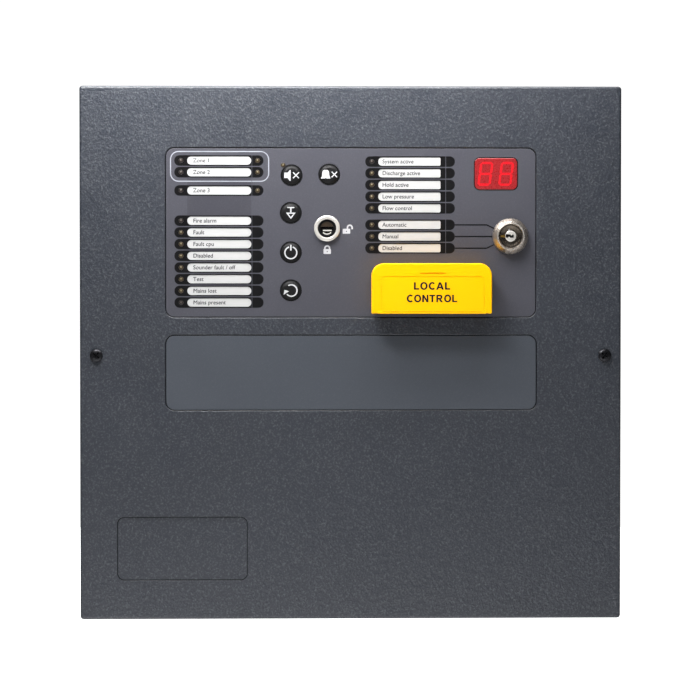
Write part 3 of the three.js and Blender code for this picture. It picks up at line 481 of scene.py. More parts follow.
def carve(form, cutters, sharp):
    """The form's mesh with each cutter taken away or joined on, one after another."""
    target = add_object("uncut", form.mesh("uncut", sharp))
    for cutter, operation in cutters:
        tool = add_object("tool", cutter.mesh("tool"))
        step = target.modifiers.new("cut", "BOOLEAN")
        step.object, step.operation, step.solver = tool, operation, "EXACT"
        bpy.context.view_layer.update()
        shown = target.evaluated_get(bpy.context.evaluated_depsgraph_get())
        result = bpy.data.meshes.new_from_object(shown)
        target.modifiers.clear()
        target.data = result
        bpy.data.objects.remove(tool)
    bpy.data.objects.remove(target)
    result.materials.clear()
    finish_shading(result, sharp)
    return result


# ---- Cover ----
BUTTONS = {
    name: centre(f"button_{name}") for name in ("mute", "silence", "lamp_test", "power", "reset")
}
ACCESS = centre("access_lock_plug")
MODE = centre("mode_lock_plug")
DISPLAY = (*centre("display_window"), 26.0, 19.4, 3.3)
RELEASE = centre("release_button")
SCREWS = [centre("cover_screw_left"), centre("cover_screw_right")]


def column(rows, margin=CARD_MARGIN):
    """The middle and the height of a column of rows."""
    return (max(rows) + min(rows)) / 2, max(rows) - min(rows) + 2 * margin


def lamp_slots():
    """The slots behind the lamps, as outlines."""
    width = 4.4
    slots = []
    for x, rows in ((STATUS_LED_X, LEFT_ROWS), (ZONE_LED_X, ZONE_ROWS), (SYSTEM_LED_X, SYSTEM_ROWS)):
        z, height = column(rows, width / 2)
        slots.append(rounded(x, z, width, height, 0.6, 3))
    return slots


def control_holes():
    return [
        *[circle(x, z, BUTTON_HOLE, 48) for x, z in BUTTONS.values()],
        circle(*ACCESS, ACCESS_HOLE, 48),
        circle(*MODE, MODE_HOLE, 48),
        circle(*RELEASE, RELEASE_HOLE, 48),
        rounded(*DISPLAY, 6, EDGE_GAP),
    ]


def tray(form, w, h, rim, face):
    """The walls of a folded tray, up to its flat side. Gives that side's outer and inner ring."""
    side = 1 if rim > face else -1
    worn = 0.15
    outside = [(-worn, rim), (0, rim - side * worn), (0, rim - side * 8), (0, face + side * (BEND + 6))]
    outside += arc(-BEND, face + side * BEND, BEND, 0, -90 * side, 8)
    inside = [(worn - SHEET, rim), (-SHEET, rim - side * worn)]
    inside += arc(-BEND, face + side * BEND, BEND - SHEET, 0, -90 * side, 3)
    outer = form.loft(lambda off: rounded(0, 0, w, h, CORNER, 8, off), outside)
    inner = form.loft(lambda off: rounded(0, 0, w, h, CORNER, 8, off), inside)
    form.bridge(outer[0], inner[0])
    return outer[-1], inner[-1]


def make_cover():
    form = Form()
    outer, inner = tray(form, WIDTH, HEIGHT, FACE_Y + FLANGE, FACE_Y)
    screw_holes = [circle(x, z, SCREW_HOLE, 32) for x, z in SCREWS]
    front_holes, back_holes = form.bores(screw_holes, FACE_Y, FACE_Y + SHEET)
    for panel, depth, holes in (
        (CONTROL_PANEL, 1.0, control_holes() + lamp_slots() + [circle(*BUZZER_LED, 1.6, 20)]),
        (BLANK_PANEL, 1.0, []),
        (LABEL_PANEL, 0.6, []),
    ):
        floor = FACE_Y + depth
        upper, lower = depth - 0.4, 0.28
        # Painted shade: the paint is darker deep in the step, where the step's shade falls.
        lit = arc(upper, FACE_Y + upper, upper, -90, -145, 5)
        shaded_step = arc(upper, FACE_Y + upper, upper, -145, -180, 3)
        shaded_step += arc(-lower, floor - lower, lower, 0, 90, 4) + [(-lower - 0.2, floor)]
        behind = [(SHEET + 0.25, FACE_Y + SHEET), (SHEET, FACE_Y + SHEET + 0.25)]
        behind += [(SHEET, floor + SHEET - 0.3), (SHEET - 0.3, floor + SHEET)]
        lit_rings, shaded_step_rings, back_rings = [
            form.loft(lambda off: rounded(*panel, 8, off), profile, mark)
            for profile, mark in ((lit, 0), (shaded_step, 1), (behind, 0))
        ]
        front_holes.append(lit_rings[0])
        back_holes.append(back_rings[0])
        fronts, backs = form.bores(holes, floor, floor + SHEET)
        form.fill(shaded_step_rings[-1], fronts)
        form.fill(back_rings[-1], backs)
    form.fill(outer, front_holes)
    form.fill(inner, back_holes)
    form.build("cover_shell", "front_cover", [PAINT, STEP_SHADE_PAINT], ["front_cover"], "powder_coat")


def left_windows():
    return [rounded(LEFT_WINDOW_X, z, LEFT_WINDOW_W, WINDOW_H, 2.45) for z in LEFT_ROWS]


def right_windows():
    """Round at the left end, and nearly square at the right."""
    left, right = RIGHT_WINDOW_X - RIGHT_WINDOW_W / 2, RIGHT_WINDOW_X + RIGHT_WINDOW_W / 2
    half, radii = WINDOW_H / 2, (0.9, 2.3, 2.3, 0.9)
    return [cornered(left, right, z - half, z + half, radii) for z in SYSTEM_ROWS]


def led_places():
    """Each lamp's x and z, with True for the amber ones."""
    red_rows = [*ZONE_ROWS, STATUS_ROWS[0], STATUS_ROWS[-1]]
    places = [(STATUS_LED_X, z, z not in red_rows) for z in LEFT_ROWS]
    places += [(ZONE_LED_X, z, True) for z in ZONE_ROWS]
    places += [(SYSTEM_LED_X, z, z != SYSTEM_ROWS[0]) for z in SYSTEM_ROWS]
    return [*places, (*BUZZER_LED, True)]


def make_overlay():
    edge = 0.12
    profile = arc(-edge, OVERLAY_Y + edge, edge, -90, 0, 3) + [(0, PRESSED_Y)]
    lamp_holes = [circle(x, z, LED_HOLE, 20) for x, z, _ in led_places()]
    holes = left_windows() + right_windows() + lamp_holes + control_holes()
    form = Form()
    rings = form.loft(lambda off: rounded(*CONTROL_PANEL, 8, off - FILM_GAP), profile)
    fronts, backs = form.bores(holes, OVERLAY_Y, PRESSED_Y)
    form.fill(rings[0], fronts)
    form.fill(rings[-1], backs)
    form.build("overlay_sheet", "front_cover", [FILM], ["control_overlay"], "overlay_film")

    blank = Form()
    blank.solid(lambda off: rounded(*BLANK_PANEL, 8, off - FILM_GAP), profile)
    blank.build("blank_sheet", "front_cover", [BLANK_FILM], ["blank_overlay"], "overlay_film")


def padlock(form, x, z, swing, y0, y1, mark):
    """A padlock sign: x and z are the middle of its body. swing moves the shackle aside."""
    body = rounded(x, z, 4.4, 2.9, 0.3, 3)
    form.plate(body, y0, y1, [circle(x, z - 0.1, 0.38, 12)], mark)
    sx, sz = x + swing, z + 1.9 + (0.3 if swing else 0)
    form.plate(band(sx, sz, 0.95, 1.85, 0, 180, 16), y0, y1, mark=mark)
    for side in (-1, 1):
        foot = z + 1.5 if side < 0 or not swing else sz - 1.0
        shackle_leg = rounded(sx + side * 1.4, (sz + foot) / 2, 0.9, sz - foot, 0.02, 1)
        form.plate(shackle_leg, y0, y1, mark=mark)


def make_print():
    """What is printed on the overlay: black lozenges, the white frame, lines and signs."""
    form = Form()
    front, back = OVERLAY_Y - INK, OVERLAY_Y
    for rows, windows, (x, width), lamps in (
        (LEFT_ROWS, left_windows(), LEFT_PILL, (STATUS_LED_X, ZONE_LED_X)),
        (SYSTEM_ROWS, right_windows(), RIGHT_PILL, (SYSTEM_LED_X,)),
    ):
        for z, window in zip(rows, windows):
            shown = lamps if z in ZONE_ROWS else lamps[:1]
            holes = [window, *[circle(lamp, z, LED_HOLE, 20) for lamp in shown]]
            form.plate(rounded(x, z, width, PILL_H, PILL_ROUND, 8), front, back, holes)
    zone_frame = (-78.7, (ZONE_ROWS[0] + ZONE_ROWS[1]) / 2, 59.3, 18.4, 5.1, 8)
    form.plate(rounded(*zone_frame), front, back, [rounded(*zone_frame, -0.6)], 1)

    # Lines from the mode lamps to the key lock.
    line, start_x, bend_x = 0.75, 62.4, 81.6
    for z, tilt in zip(SYSTEM_ROWS[5:], (-1, 0, 1)):
        end = bend_x if tilt else MODE[0] - 8
        form.plate(bar(start_x, z, end, z, line), front, back, mark=2)
        if tilt:
            slope = bar(bend_x - 0.15, z, 88.2, z + tilt * 3.3, line)
            form.plate(slope, front - 0.004, back, mark=2)
    padlock(form, ACCESS[0] + 0.1, ACCESS[1] - 13.8, 0, front, back, 3)
    padlock(form, -2.75, 73.05, 2.0, front, back, 3)
    form.build("overlay_print", "front_cover", [BLACK_INK, PALE_INK, LINE_INK, WHITE_INK])

    # The pockets for the label cards show through the film as faint bands.
    pockets = Form()
    half = PILL_H / 2
    for top, low in (
        (ZONE_ROWS[1] - half - 0.1, ZONE_ROWS[2] + half),
        (ZONE_ROWS[2] - half, STATUS_ROWS[0] + half),
    ):
        patch = rounded(LEFT_WINDOW_X, (top + low) / 2, LEFT_WINDOW_W, top - low, 0.05, 1)
        pockets.plate(patch, OVERLAY_Y - 0.012, OVERLAY_Y)
    for x, rows in ((-59.4, LEFT_ROWS), (56.8, SYSTEM_ROWS)):
        z, height = column(rows)
        pockets.plate(rounded(x, z, 0.32, height, 0.02, 1), front - 0.01, OVERLAY_Y, mark=1)
    pockets.build("label_pockets", "front_cover", [POCKET_FILM, FILM])


LEFT_WORDS = ["Zone 1", "Zone 2", "Zone 3", "Fire alarm", "Fault", "Fault cpu", "Disabled",
              "Sounder fault / off", "Test", "Mains lost", "Mains present"]
RIGHT_WORDS = ["System active", "Discharge active", "Hold active", "Low pressure", "Flow control",
               "Automatic", "Manual", "Disabled"]


def make_cards():
    form = Form()
    front, back = OVERLAY_Y + 0.12, PRESSED_Y - 0.02
    for x, w, rows in (
        (LEFT_WINDOW_X, LEFT_WINDOW_W, ZONE_ROWS), (LEFT_WINDOW_X, LEFT_WINDOW_W, STATUS_ROWS),
        (RIGHT_WINDOW_X, RIGHT_WINDOW_W, SYSTEM_ROWS),
    ):
        z, height = column(rows)
        form.slab(x, z, w + 1.6, height, front, back, 0.3, 0.05)
    cap = 2.35
    for x, rows, words in (
        (LEFT_WINDOW_X - 15.7, LEFT_ROWS, LEFT_WORDS), (RIGHT_WINDOW_X - 16.3, SYSTEM_ROWS, RIGHT_WORDS),
    ):
        for z, word in zip(rows, words):
            base = z - cap / 2 + 0.1
            # Drawn twice, a little apart, for a heavier letter.
            for shift in (-0.08, 0.08):
                form.lettering(word, x + shift, base + shift, front + shift * 0.1, cap, 1)
    form.build("legend_cards", "front_cover", [CARD, GREY_INK],
               ["legend_card_left", "legend_card_right"], "card")


def make_leds():
    form = Form()
    rim = LED_HOLE - 0.06
    dome = [(0, 0.45), (rim, 0.45), (rim, 0.1), (1.15, 0.0), (0.8, -0.08), (0.4, -0.11), (0, -0.12)]
    # Each lamp also gets a small lighter spot up and to the left of its middle: a painted highlight on the
    # lens.
    highlight_spot = [(0, 0), (0.56, -0.05), (0.46, -0.13), (0.25, -0.17), (0, -0.18)]
    for x, z, amber in led_places():
        form.lathe(dome, x, z, OVERLAY_Y, 24, 0 if amber else 1)
        form.lathe(highlight_spot, x - 0.08, z + 0.22, OVERLAY_Y, 16, 2 if amber else 3)
    form.build("lamp_lenses", "front_cover", [AMBER_LENS, SMOKE_LENS, AMBER_HIGHLIGHT, TAN_BEAD_AND_HIGHLIGHT],
               slot="amber_lens")


def make_display():
    form = Form()
    x, z = DISPLAY[:2]
    front = FACE_Y + 0.05
    form.slab(x, z, 25.5, 18.9, front, COVER_BACK_Y - 0.2, 3.05, 0.35, 0, 8)
    lean = math.tan(math.radians(7.4))
    stroke, high, wide, cut = 1.25, 14.2, 7.9, 0.12
    tip, w, h = stroke / 2, (wide - stroke) / 2, (high - stroke) / 2

    def segment(middle, px, pz, half, upright):
        shape = [(half, 0), (half - tip, tip), (tip - half, tip)]
        shape += [(-a, -b) for a, b in shape]
        if upright:
            shape = [(b, a) for a, b in shape]
        leaning = [(middle + px + a + lean * (pz + b), z + pz + b) for a, b in shape]
        form.plate(leaning, front - 0.02, front, mark=1)

    for middle in (x - 6.35, x + 6.05):
        for pz in (h, 0, -h):
            segment(middle, 0, pz, w - cut, False)
        for px in (-w, w):
            for pz in (-h / 2, h / 2):
                segment(middle, px, pz, h / 2 - cut, True)
    # A dark ring fills the gap between the lens and the film: painted shade.
    form.plate(rounded(x, z, 26.5, 19.9, 3.5, 8), OVERLAY_Y - 0.03, PRESSED_Y,
               [rounded(x, z, 25.4, 18.8, 3.0, 8)], 2)
    form.build("display_lens", "front_cover", [RED_LENS, RED_SEGMENT, SHADOW_BLACK],
               ["display_window"], "red_lens")


# ---- Buttons ----


def cross(x, half, width=0.62):
    """Two strokes, of which the second lies a touch higher."""
    return [
        (bar(x - half, -half, x + half, half, width), 0, ()),
        (bar(x - half, half, x + half, -half, width), 0.004, ()),
    ]


SPEAKER = [
    (-4.45, 1.6), (-2.4, 1.6), (-1.15, 3.1), (-0.6, 3.1), (-0.6, -3.35), (-1.15, -3.35),
    (-2.4, -1.6), (-4.45, -1.6),
]
BELL = [(a * 0.92 - 2.1, b * 0.95) for a, b in (
    (-0.6, -2.55), (-3.0, -2.55), (-3.1, -2.2), (-2.75, -1.75), (-2.3, -0.3), (-2.2, 1.2),
    (-1.9, 2.2), (-1.2, 2.85), (1.2, 2.85), (1.9, 2.2), (2.2, 1.2), (2.3, -0.3), (2.75, -1.75),
    (3.1, -2.2), (3.0, -2.55), (0.6, -2.55), (0.3, -2.25), (-0.3, -2.25),
)]
# Each sign as its shapes round the button's middle: outline, lift and holes.
SIGNS = {
    "mute": [(SPEAKER, 0, ()), *cross(2.6, 1.75)],
    "silence": [(BELL, 0, ()), *cross(3.1, 1.65)],
    "lamp_test": [
        (rounded(0, 3.2, 4.2, 0.72, 0.03, 1), 0, ()),
        (rounded(0, 1.6, 0.85, 2.7, 0.03, 1), 0.003, ()),
        ([(-2.85, 0.15), (2.85, 0.15), (0, -3.7)], 0, [[(-1.55, -0.5), (1.55, -0.5), (0, -2.6)]]),
    ],
    "power": [
        (band(0, -0.25, 3.2, 3.95, 108, 432, 48), 0, ()),
        (rounded(0, 2.75, 0.85, 3.4, 0.2, 3), 0, ()),
    ],
    "reset": [
        (band(0.27, -0.1, 3.05, 3.8, 121, -140, 44), 0, ()),
        ([(-3.8, 0.3), (-1.1, -0.5), (-4.35, -2.6)], 0, ()),
    ],
}


def make_buttons():
    top = -0.85
    profile = [(0, 5.1), (2.3, 5.1), (2.5, 4.9), (2.5, 3.1), (7.2, 3.1), (7.4, 2.9), (7.4, 2.4), (7.2, 2.2)]
    profile += [(6.25, 2.2), (6.25, 0.3), (6.15, 0.2), (5.5, 0.2), (5.3, 0.1), (5.22, -0.05), (4.95, -0.3)]
    profile += [(4.6, -0.53), (4.25, -0.7), (4.05, -0.78), (3.8, top), (0, top - 0.03)]
    front, back = OVERLAY_Y + top - 0.05, OVERLAY_Y + top + 0.3
    for name, (x, z) in BUTTONS.items():
        form = Form()
        form.lathe(profile, x, z, OVERLAY_Y, 64)
        for outline, lift, holes in SIGNS[name]:
            moved = [shifted(pairs, x, z) for pairs in (outline, *holes)]
            form.plate(moved[0], front - lift, back, moved[1:], 1)
        form.build(f"cap_{name}", f"button_{name}", [CAP_BLACK, WHITE_INK], [f"button_{name}"],
                   "black_plastic", 28)


# ---- Locks ----


def make_access_lock():
    x, z = ACCESS
    ring = Form()
    profile = [(0, 21.7), (6.3, 21.7), (6.5, 21.5), (6.5, 0), (7.7, 0), (7.8, -0.1), (7.8, -1.1)]
    profile += [(7.76, -1.35), (7.62, -1.6), (7.4, -1.76), (7.1, -1.85), (6.6, -1.9), (6.1, -1.88)]
    profile += [(5.8, -1.83), (5.6, -1.72), (5.5, -1.5), (5.5, 20.1), (0, 20.1)]
    ring.lathe(profile, x, z, OVERLAY_Y, 72)
    ring.build("access_lock_ring", "front_cover", [POLISHED_PAINTED_REFLECTION], ["access_lock_body"], "chrome")
    core = Form()
    rim = [(0, 19.7), (5.25, 19.7), (5.3, 19.6), (5.3, -0.7), (5.15, -0.9), (4.2, -0.9), (4.0, -0.7)]
    core.lathe(rim + [(4.0, 1.2), (0, 1.2)], x, z, OVERLAY_Y, 64, 0)
    # The brown dish above the key slot, and two painted highlights in the polished finish: a bright tongue
    # under the slot and a bright crescent at the lower edge.
    front, back = OVERLAY_Y - 0.35, OVERLAY_Y + 1.3
    core.plate(arc(x, z + 0.75, 3.8, 6, 174, 24), front, back, mark=1)
    core.plate(rounded(x + 0.2, z - 1.2, 5.4, 0.8, 0.35, 4), front - 0.2, back, mark=2)
    core.plate(band(x, z + 0.1, 3.1, 3.8, 226, 314, 24), front - 0.1, back, mark=2)
    core.build("access_lock_core", "access_lock_plug", [SHADOW_BLACK, SMOKED_BRASS, POLISHED_PAINTED_REFLECTION],
               ["access_lock_plug"], "black_plastic")


def make_mode_lock():
    x, z = MODE
    rim = Form()
    profile = [(0, 28), (9.1, 28), (9.3, 27.8), (9.3, 0), (10.6, 0), (10.75, -0.15), (10.75, -1.5)]
    profile += [(10.65, -1.9), (10.3, -2.5), (9.6, -3.35), (8.9, -4.15), (8.5, -4.55), (8.25, -4.7)]
    profile += [(8.1, -4.7), (8.0, -4.55), (7.9, -4.55), (7.8, -4.75), (7.6, -4.9), (7.35, -4.85)]
    profile += [(7.15, -4.65), (7.05, -4.3), (7.05, 26.4), (0, 26.4)]
    rim.lathe(profile, x, z, OVERLAY_Y, 80)
    # A thin polished band on the rim's inner edge: a painted highlight.
    painted_highlight_ring = circle(x, z, 8.02, 80), OVERLAY_Y - 4.78, OVERLAY_Y - 4.4, [circle(x, z, 7.72, 80)]
    rim.plate(*painted_highlight_ring, 1)
    rim.build("mode_lock_rim", "front_cover", [SATIN_CHROME, POLISHED_PAINTED_REFLECTION], ["mode_lock_body"], "chrome")

    core = Form()
    disc = [(0, 26), (6.75, 26), (6.85, 25.9), (6.85, -3.3), (6.7, -3.5), (6.3, -3.5), (5.6, -3.15)]
    core.lathe(disc + [(4.3, -2.8), (3.7, -2.7), (0, -2.7)], x, z, OVERLAY_Y, 72)
    notch = [(-1.7, 3.2), (-1.0, 4.7), (-0.3, 3.3)]
    core.plate(shifted(notch, x, z), OVERLAY_Y - 3.6, OVERLAY_Y - 2.6, mark=1)
    pointer = [(-3.25, 0.75), (-6.0, 0.4), (-6.0, -0.6), (-3.25, -0.75)]
    core.plate(shifted(pointer, x, z), OVERLAY_Y - 3.4, OVERLAY_Y - 2.6, mark=2)
    core.build("mode_lock_core", "mode_lock_plug", [SMOKED_CHROME, CHROME, BRASS],
               ["mode_lock_plug"], "chrome")

    key = [(-3.0, 0.85), (-0.15, 0.85), (0.05, 0.35), (0.55, 0.3), (0.8, 0.75), (1.6, 0.75), (1.8, 0.5),
           (1.8, -0.8), (-0.35, -0.85), (-0.75, -0.35), (-1.25, -0.35), (-1.6, -0.8), (-2.6, -0.8),
           (-3.0, -0.4)]
    key = [(x + a, z + b * 1.2) for a, b in key]
    bullet, slot, pit = Form(), Form(), Form()
    end = [(0, 1), (3.35, 1), (3.35, -3.9), (3.25, -4.15), (3.0, -4.3), (2.6, -4.38), (0, -4.42)]
    bullet.lathe(end, x, z, OVERLAY_Y, 64)
    slot.plate(key, OVERLAY_Y - 6, OVERLAY_Y - 0.5)
    bullet.build("mode_lock_bullet", "mode_lock_plug", [POLISHED_PAINTED_REFLECTION], slot="chrome",
                 cutters=[(slot, "DIFFERENCE")])
    # A black block fills the key slot up to just under the face: painted shade in the keyway.
    pit.plate(key, OVERLAY_Y - 4.05, OVERLAY_Y - 0.4)
    pit.build("mode_lock_keyway_shade", "mode_lock_plug", [SHADOW_BLACK])


# ---- Manual control ----


def oval(x, z, rx, rz, start, end, steps=20):
    return [(x + rx * px, z + rz * pz) for px, pz in arc(0, 0, 1, start, end, steps)]


# Bold capitals of unit height: width, outline and hole.
CAPITALS = {
    "A": (1.0, [(0, 0), (0.38, 1), (0.62, 1), (1, 0), (0.75, 0), (0.68, 0.2), (0.32, 0.2), (0.25, 0)],
          [(0.385, 0.39), (0.615, 0.39), (0.5, 0.73)]),
    "C": (0.84, oval(0.48, 0.5, 0.48, 0.53, 46, 314) + oval(0.48, 0.5, 0.24, 0.32, 314, 46), None),
    "L": (0.68, [(0, 0), (0, 1), (0.24, 1), (0.24, 0.2), (0.68, 0.2), (0.68, 0)], None),
    "N": (0.82, [(0, 0), (0, 1), (0.24, 1), (0.59, 0.4), (0.59, 1), (0.82, 1), (0.82, 0), (0.58, 0),
                 (0.23, 0.6), (0.23, 0)], None),
    "O": (0.96, oval(0.48, 0.5, 0.48, 0.53, 0, 351, 39), oval(0.48, 0.5, 0.24, 0.32, 0, 351, 39)),
    "R": (0.9, [(0, 0), (0, 1), *oval(0.52, 0.7, 0.3, 0.3, 90, -75, 12), (0.9, 0), (0.62, 0),
                (0.35, 0.38), (0.24, 0.38), (0.24, 0)],
          [(0.24, 0.8), *oval(0.48, 0.69, 0.11, 0.11, 90, -90, 8), (0.24, 0.58)]),
    "T": (0.8, [(0.28, 0), (0.52, 0), (0.52, 0.8), (0.8, 0.8), (0.8, 1), (0, 1), (0, 0.8), (0.28, 0.8)],
          None),
}


def capitals(form, word, x, z, y, cap, width):
    """A centred word in bold capitals, as long as width."""
    gap = 0.13
    length = sum(CAPITALS[letter][0] for letter in word) + gap * (len(word) - 1)
    stretch = width / length
    start = x - width / 2
    for letter in word:
        advance, outline, hole = CAPITALS[letter]
        place = lambda pairs: [(start + px * stretch, z + pz * cap) for px, pz in pairs]
        form.plate(place(outline), y - 0.03, y, [place(hole)] if hole else ())
        start += (advance + gap) * stretch


def make_flap():
    left, right, high = FLAP_X - FLAP_W / 2, FLAP_X + FLAP_W / 2, FLAP_LOW + FLAP_H
    inner_face, behind, proud = FLAP_FACE_Y + FLAP_FACE, FLAP_BACK_Y + 5, FLAP_FACE_Y - 1

    def outline(off):
        """The face's outline: round at the top, nearly square at the bottom."""
        radii = [FLAP_ROUND + off] * 2 + [max(0.25, 0.6 + off)] * 2
        return cornered(left - off, right + off, FLAP_LOW - off, high + off, radii, 12)

    shell, hollow, skirt, lip, groove, slit, pin_holes = [Form() for _ in range(7)]
    edge = 0.7
    profile = arc(-edge, FLAP_FACE_Y + edge, edge, -90, 0, 5)
    profile += [(0, FLAP_FACE_Y + 4), (0, FLAP_BACK_Y - 0.3), (-0.3, FLAP_BACK_Y)]
    shell.solid(outline, profile)
    radii = [FLAP_ROUND - FLAP_WALL] * 2 + [0.05] * 2
    room = cornered(left + FLAP_WALL, right - FLAP_WALL, FLAP_LOW - 20, high - FLAP_WALL, radii, 12)
    hollow.plate(room, inner_face, behind)
    # Below the pin only the face is left.
    skirt_low, skirt_high = FLAP_LOW - 10, FLAP_PIVOT[1]
    below = rounded(FLAP_X, (skirt_low + skirt_high) / 2, FLAP_W + 20, skirt_high - skirt_low, 0.02, 1)
    skirt.plate(below, inner_face, behind)
    steps = [(hollow, "DIFFERENCE"), (skirt, "DIFFERENCE")]
    half = FLAP_WALL / 2
    disc = [(0, -half), (4.0, -half), (4.2, 0.2 - half), (4.2, half - 0.2), (4.0, half), (0, half)]
    for side in (-1, 1):
        ear, place = Form(), (FLAP_X + side * (FLAP_W / 2 - half), *FLAP_PIVOT)
        ear.rod(disc, place, "Z", 48)
        steps.append((ear, "UNION"))
        pin_holes.rod([(0, -4), (1.5, -4), (1.5, 4), (0, 4)], place, "Z", 32)
    steps.append((pin_holes, "DIFFERENCE"))
    lip.slab(FLAP_X, FLAP_LOW + 0.65, FLAP_W - 6.8, 1.7, FLAP_FACE_Y - 0.25, inner_face, 0.3)
    steps.append((lip, "UNION"))
    label = (FLAP_X + 0.55, 35.4, 61.7, 21.2, 2.6, 8)
    groove.plate(rounded(*label), proud, FLAP_FACE_Y + 0.2, [rounded(*label, -0.4)])
    slit.plate(rounded(FLAP_X + 0.5, 47.8, 14.9, 0.8, 0.38), proud, FLAP_FACE_Y + 0.45)
    steps += [(groove, "DIFFERENCE"), (slit, "DIFFERENCE")]
    shell.build("flap_shell", "release_flap", [YELLOW], ["release_flap"], "yellow_plastic",
                cutters=steps)
    words = Form()
    for word, z, width in (("LOCAL", 38.05, 21.6), ("CONTROL", 30.6, 30.1)):
        capitals(words, word, FLAP_X, z, FLAP_FACE_Y, 4.4, width)
    words.build("flap_words", "release_flap", [NAVY_INK])


def make_release():
    half = FLAP_W / 2 - FLAP_WALL - 0.6
    plate_y, bezel_y = OVERLAY_Y - 2, OVERLAY_Y - 6.3
    pivot_y, pivot_z = FLAP_PIVOT
    bx, bz = RELEASE
    base = Form()
    rings = base.loft(lambda off: rounded(FLAP_X, 38, 2 * half, 27, 4, 8, off),
                      arc(-0.5, plate_y + 0.5, 0.5, -90, 0, 4) + [(0, OVERLAY_Y)])
    fronts, backs = base.bores([circle(bx, bz, RELEASE_HOLE, 48)], plate_y, OVERLAY_Y)
    base.fill(rings[-1], backs)
    # The ring round the button, as (radius, y).
    bezel = [(10.2, plate_y), (10.2, bezel_y + 0.5), (10.05, bezel_y + 0.15), (9.7, bezel_y)]
    bezel += [(9.2, bezel_y), (8.9, bezel_y + 0.15), (8.8, bezel_y + 0.5), (8.8, plate_y)]
    collar = base.loft(lambda radius: circle(bx, bz, radius, 48), bezel)
    base.fill(rings[0], [collar[0]])
    base.fill(collar[-1], fronts)
    foot = plate_y - pivot_y + 0.4
    ear_outline = arc(0, 0, 3, 180, 360, 16) + [(3, foot), (-3, foot)]
    for side in (-1, 1):
        ear = Form()
        ear.plate(ear_outline, -1, 1, [circle(0, 0, 1.5, 24)])
        upright = Matrix(((0, 1, 0, 0), (0, 0, 1, 0), (-1, 0, 0, 0), (0, 0, 0, 1)))
        place = Matrix.Translation((FLAP_X + side * (half - 1), pivot_y, pivot_z))
        base.add(ear, place @ upright)
    base.build("release_plate", "front_cover", [YELLOW], ["release_base"], "yellow_plastic")

    pin = Form()
    end = (FLAP_W - 0.8) / 2
    rod = [(0, -end), (1.0, -end), (1.2, 0.2 - end), (1.2, end - 0.2), (1.0, end), (0, end)]
    pin.rod(rod, (FLAP_X, pivot_y, pivot_z), "Z", 24)
    pin.build("hinge_pin", "front_cover", [SMOKED_CHROME], ["release_hinge_pin"], "zinc")

    push = Form()
    profile = [(0, 1.5), (3.9, 1.5), (4.0, 1.4), (4.0, -5.5), (8.2, -5.5), (8.4, -5.7), (8.4, -8.4)]
    profile += arc(7.7, -8.6, 0.7, 0, -90, 5) + [(5.5, -9.0), (3.0, -8.75), (0, -8.65)]
    push.lathe(profile, bx, bz, OVERLAY_Y, 64)
    push.build("release_push", "release_button", [RED_PLASTIC], ["release_button"], "red_plastic")


def make_screws():
    profile = [(0, 9), (1.6, 9), (1.9, 8.6), (1.9, 0), (3.75, 0), (3.9, -0.15), (3.9, -0.8)]
    profile += [(3.75, -1.25), (3.35, -1.7), (2.6, -2.05), (1.5, -2.25), (0, -2.3)]
    # The cross recess narrows inwards: half length, width and y.
    sections = [((2.5, 1.24), -2.6), ((2.25, 1.0), -1.9), ((1.2, 0.8), -0.75)]
    for (x, z), side in zip(SCREWS, ("left", "right")):
        head = Form()
        head.lathe(profile, x, z, FACE_Y)
        recess = []
        for turn in (-36, 54):
            blade = Form()
            dx, dz = math.cos(math.radians(turn)), math.sin(math.radians(turn))
            levels = [(size, FACE_Y + y) for size, y in sections]
            blade.solid(lambda size: bar(x - size[0] * dx, z - size[0] * dz,
                                         x + size[0] * dx, z + size[0] * dz, size[1]), levels)
            recess.append((blade, "DIFFERENCE"))
        head.build(f"screw_{side}", "front_cover", [SCREW_BLACK], [f"cover_screw_{side}"],
                   "dark_screw", 30, recess)


# ---- Box ----


def keyhole(x, z, key, slot, drop):
    """A round hole with a slot above it, as one outline."""
    half = slot / 2
    low = math.degrees(math.acos(half / key))
    pairs = arc(x, z, key, 180 - low, 360 + low, 28)
    return pairs + arc(x, z + drop, half, 0, 180, 12)


def make_box():
    form = Form()
    inset = SHEET + NEST_GAP
    width, height = WIDTH - 2 * inset, HEIGHT - 2 * inset
    outer, inner = tray(form, width, height, -BOX_DEPTH, 0)
    holes = [rounded(0, 137, 140, 28, 4, 8)]
    for x in (-120, 120):
        holes += [keyhole(x, 128, 5, 5.2, 10), circle(x, -128, 2.4, 32)]
    fronts, backs = form.bores(holes, -SHEET, 0)
    form.fill(outer, backs)
    form.fill(inner, fronts)
    grooves = []
    flat = Matrix.Rotation(math.radians(90), 4, "X")
    for face, places in ((height / 2, (-126, -90, -54, 54, 90, 126)), (-height / 2, (-60, 60))):
        for x in places:
            ring, knockout = Form(), Form()
            ring.plate(circle(0, 0, 10.4, 48), -0.5, 0.5, [circle(0, 0, 9.6, 48)])
            knockout.add(ring, Matrix.Translation((x, -33, face)) @ flat)
            grooves.append((knockout, "DIFFERENCE"))
    form.build("box_shell", "back_box", [PAINT], ["back_box"], "powder_coat", cutters=grooves)


# ---- Inside the box ----
BOARD_X, BOARD_Z, BOARD_W, BOARD_H, BOARD_Y = 55.0, 36.5, 190.0, 143.0, -11.6
